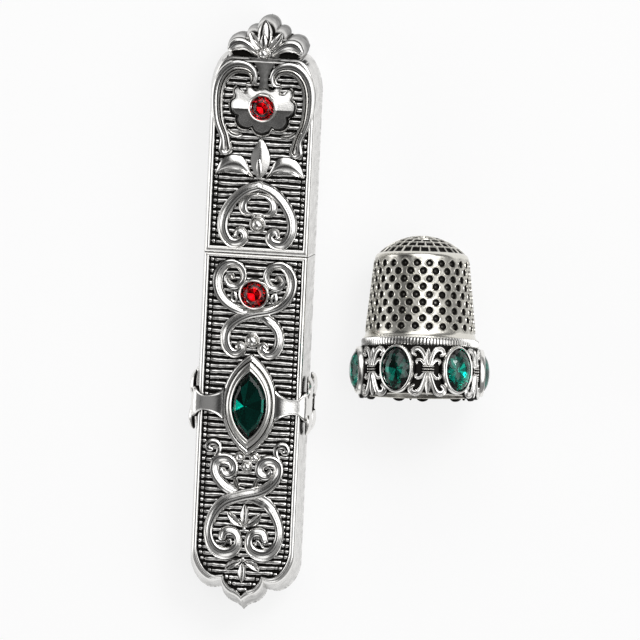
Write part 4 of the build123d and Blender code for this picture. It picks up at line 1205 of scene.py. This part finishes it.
def oval_collet():
    """Thin oval bezel: a round lip on a wall that runs down to the band, at each angle of an ellipse."""
    section = [(0.02, 0.6, 0.6), (0, 0.95, 0.1), (0.06, 1.04, 0), (0.16, 1.07, 0), (0.28, 1.02, 0),
               (0.36, 0.88, 0), (0.4, 0.62, 0.25), (0.42, 0.2, 0.85), (0.44, -0.55, 1), (0.02, -0.55, 1),
               (0.02, 0.6, 0.6)]
    way = round_row(1, circle(96), 0)
    rows = [way * (2.15 + grow, 3.05 + grow, 0) + (0, BAND_MIDDLE, height) for grow, height, _ in section]
    return grid(rows, oxide_and_shade_values(section))


def thimble_pieces():
    """Shell, fluted ring, fleurs, bezels and stones of the thimble."""
    def add(name, patch, material, slot, node):
        """One piece of the thimble, laid down."""
        add_piece(name, laid(patch), material, "thimble", slot, node)

    one = fleur()
    turn = 360 / STONES_ROUND
    fleurs = [around_band(one, FIRST_STONE + turn * (k + 0.5)) for k in range(STONES_ROUND)]
    add("turned_thimble_shell", thimble_shell(), thimble_silver, "thimble_silver", "thimble_shell")
    add("fluted_bead_ring", bead_ring(), case_silver, "thimble_silver", "thimble_bead_ring")
    add("cast_fleurs", join(fleurs), case_silver, "thimble_silver", "thimble_fleurs")
    bezel, *rest = oval_collet()
    angles = circle(14) + 0.1
    oval = np.column_stack([2.12 * np.cos(angles), BAND_MIDDLE + 3.02 * np.sin(angles)])
    levels = ((0.18, 0.06, False), (0.42, 0.55, True), (0.78, 1, False), (0.9, 1, False),
              (1.32, 0.86, True), (1.68, 0.62, False), (1.9, 0.36, True))
    for k in range(STONES_ROUND):
        angle = FIRST_STONE + turn * k
        add(f"oval_bezel_{k + 1}", (facing(bezel, angle), *rest), setting_silver, "collet_silver",
            f"thimble_collet_{k + 1}")
        node = f"thimble_stone_{k + 1}"
        add_stone(f"cut_{node}", oval, levels, "green_glass", "thimble", node,
                  lambda points: lay_down(facing(points, angle)), LIGHT_GLINTS if k % 2 else DEEP_GLINTS)


def sleeve_material():
    """Gives the carried-over sleeve its metal."""
    for piece in bpy.data.objects:
        if piece.type == "MESH" and piece.name.startswith("needle_sleeve"):
            for place in piece.material_slots:
                place.material = sleeve_silver


# Stage
def set_camera():
    """Long lens above the pair, tilted towards the cap and the thimble, as the photograph was taken."""
    lean_y, lean_x, roll = np.radians(7.5), np.radians(5.5), np.radians(2.6)
    distance, view_width, sensor = 1.5, 0.0917, 36
    target = mathutils.Vector((9.59, -8.85, 4.6)) * MM
    toward = mathutils.Vector((np.sin(lean_x), np.sin(lean_y), np.cos(lean_x) * np.cos(lean_y))).normalized()
    up = mathutils.Vector((-np.sin(roll), np.cos(roll), 0))
    right = up.cross(toward).normalized()
    up = toward.cross(right).normalized()
    camera = bpy.data.cameras.new("camera")
    camera.sensor_width = sensor
    camera.lens = sensor * distance / view_width
    camera.clip_end = 10
    holder = bpy.data.objects.new("camera", camera)
    bpy.context.collection.objects.link(holder)
    holder.location = target + toward * distance
    holder.rotation_euler = mathutils.Matrix((right, up, toward)).transposed().to_euler()
    bpy.context.scene.camera = holder


def set_floor():
    """Wide pale floor under the pair; it keeps their shadow.

    Camera, glossy and clear rays see its own light mixed with an even white.
    """
    reach, level = 1.5, -(GROUND + COLLET_HEIGHT) * MM
    mesh = bpy.data.meshes.new("floor")
    corners = [(x * reach, y * reach, level) for x, y in ((-1, -1), (1, -1), (1, 1), (-1, 1))]
    mesh.from_pydata(corners, [], [(0, 1, 2, 3)])
    floor = bpy.data.objects.new("floor", mesh)
    bpy.context.collection.objects.link(floor)
    material, tree, shader = new_material("pale floor")
    feed(tree, shader, {"Base Color": (0.92, 0.92, 0.92, 1), "Roughness": 0.9})
    path = add_node(tree, "LightPath", {}).outputs
    seen = maths(tree, "MAXIMUM", path["Is Camera Ray"], path["Is Glossy Ray"])
    seen = maths(tree, "MAXIMUM", seen, path["Is Transmission Ray"])
    glow = add_node(tree, "Emission", {}).outputs["Emission"]
    share = maths(tree, "MULTIPLY", seen, FLOOR_WHITE_SHARE)
    mix = add_node(tree, "MixShader", {"Fac": share, 1: shader.outputs["BSDF"], 2: glow})
    feed(tree, tree.nodes["Material Output"], {"Surface": mix.outputs["Shader"]})
    mesh.materials.append(material)


def set_world():
    """Studio round the object: an even grey with bright side panels and dark patches above.

    Strength at a direction starts at the base; each panel then takes over where the angle to its
    middle is small, along an S curve between its two angles. The camera itself sees plain white.
    """
    world = bpy.data.worlds.new("studio")
    bpy.context.scene.world = world
    world.use_nodes = True
    tree = world.node_tree
    place = add_node(tree, "TexCoord", {}).outputs["Generated"]
    strength = STUDIO_BASE
    for middle, full, edge, value in STUDIO_PANELS:
        inputs = {0: place, 1: mathutils.Vector(middle).normalized()}
        nearness = add_node(tree, "VectorMath", inputs, operation="DOT_PRODUCT").outputs["Value"]
        mask = ramp(tree, nearness, np.cos(np.radians(edge)), np.cos(np.radians(full)))
        strength = add_node(tree, "Mix", {"Factor": mask, "A": strength, "B": value}).outputs["Result"]
    seen = add_node(tree, "LightPath", {}).outputs["Is Camera Ray"]
    shown = add_node(tree, "Mix", {"Factor": seen, "A": strength, "B": 1})
    feed(tree, tree.nodes["Background"], {"Color": (1, 1, 1, 1), "Strength": shown.outputs["Result"]})


def set_lamp():
    """One soft lamp from the window's side, for the shadow."""
    light = bpy.data.lights.new("window lamp", "AREA")
    light.size = LAMP_SIZE
    light.energy = LAMP_POWER
    lamp = bpy.data.objects.new("window lamp", light)
    bpy.context.collection.objects.link(lamp)
    lamp.location = LAMP_PLACE
    lamp.rotation_euler = mathutils.Vector(LAMP_PLACE).to_track_quat("Z", "Y").to_euler()


def main():
    """Camera first, then the case, the thimble and the stage."""
    set_camera()
    case_pieces()
    case_stones()
    sleeve_material()
    thimble_pieces()
    set_floor()
    set_world()
    set_lamp()


main()
bpy.context.scene.view_settings.view_transform = "Standard"
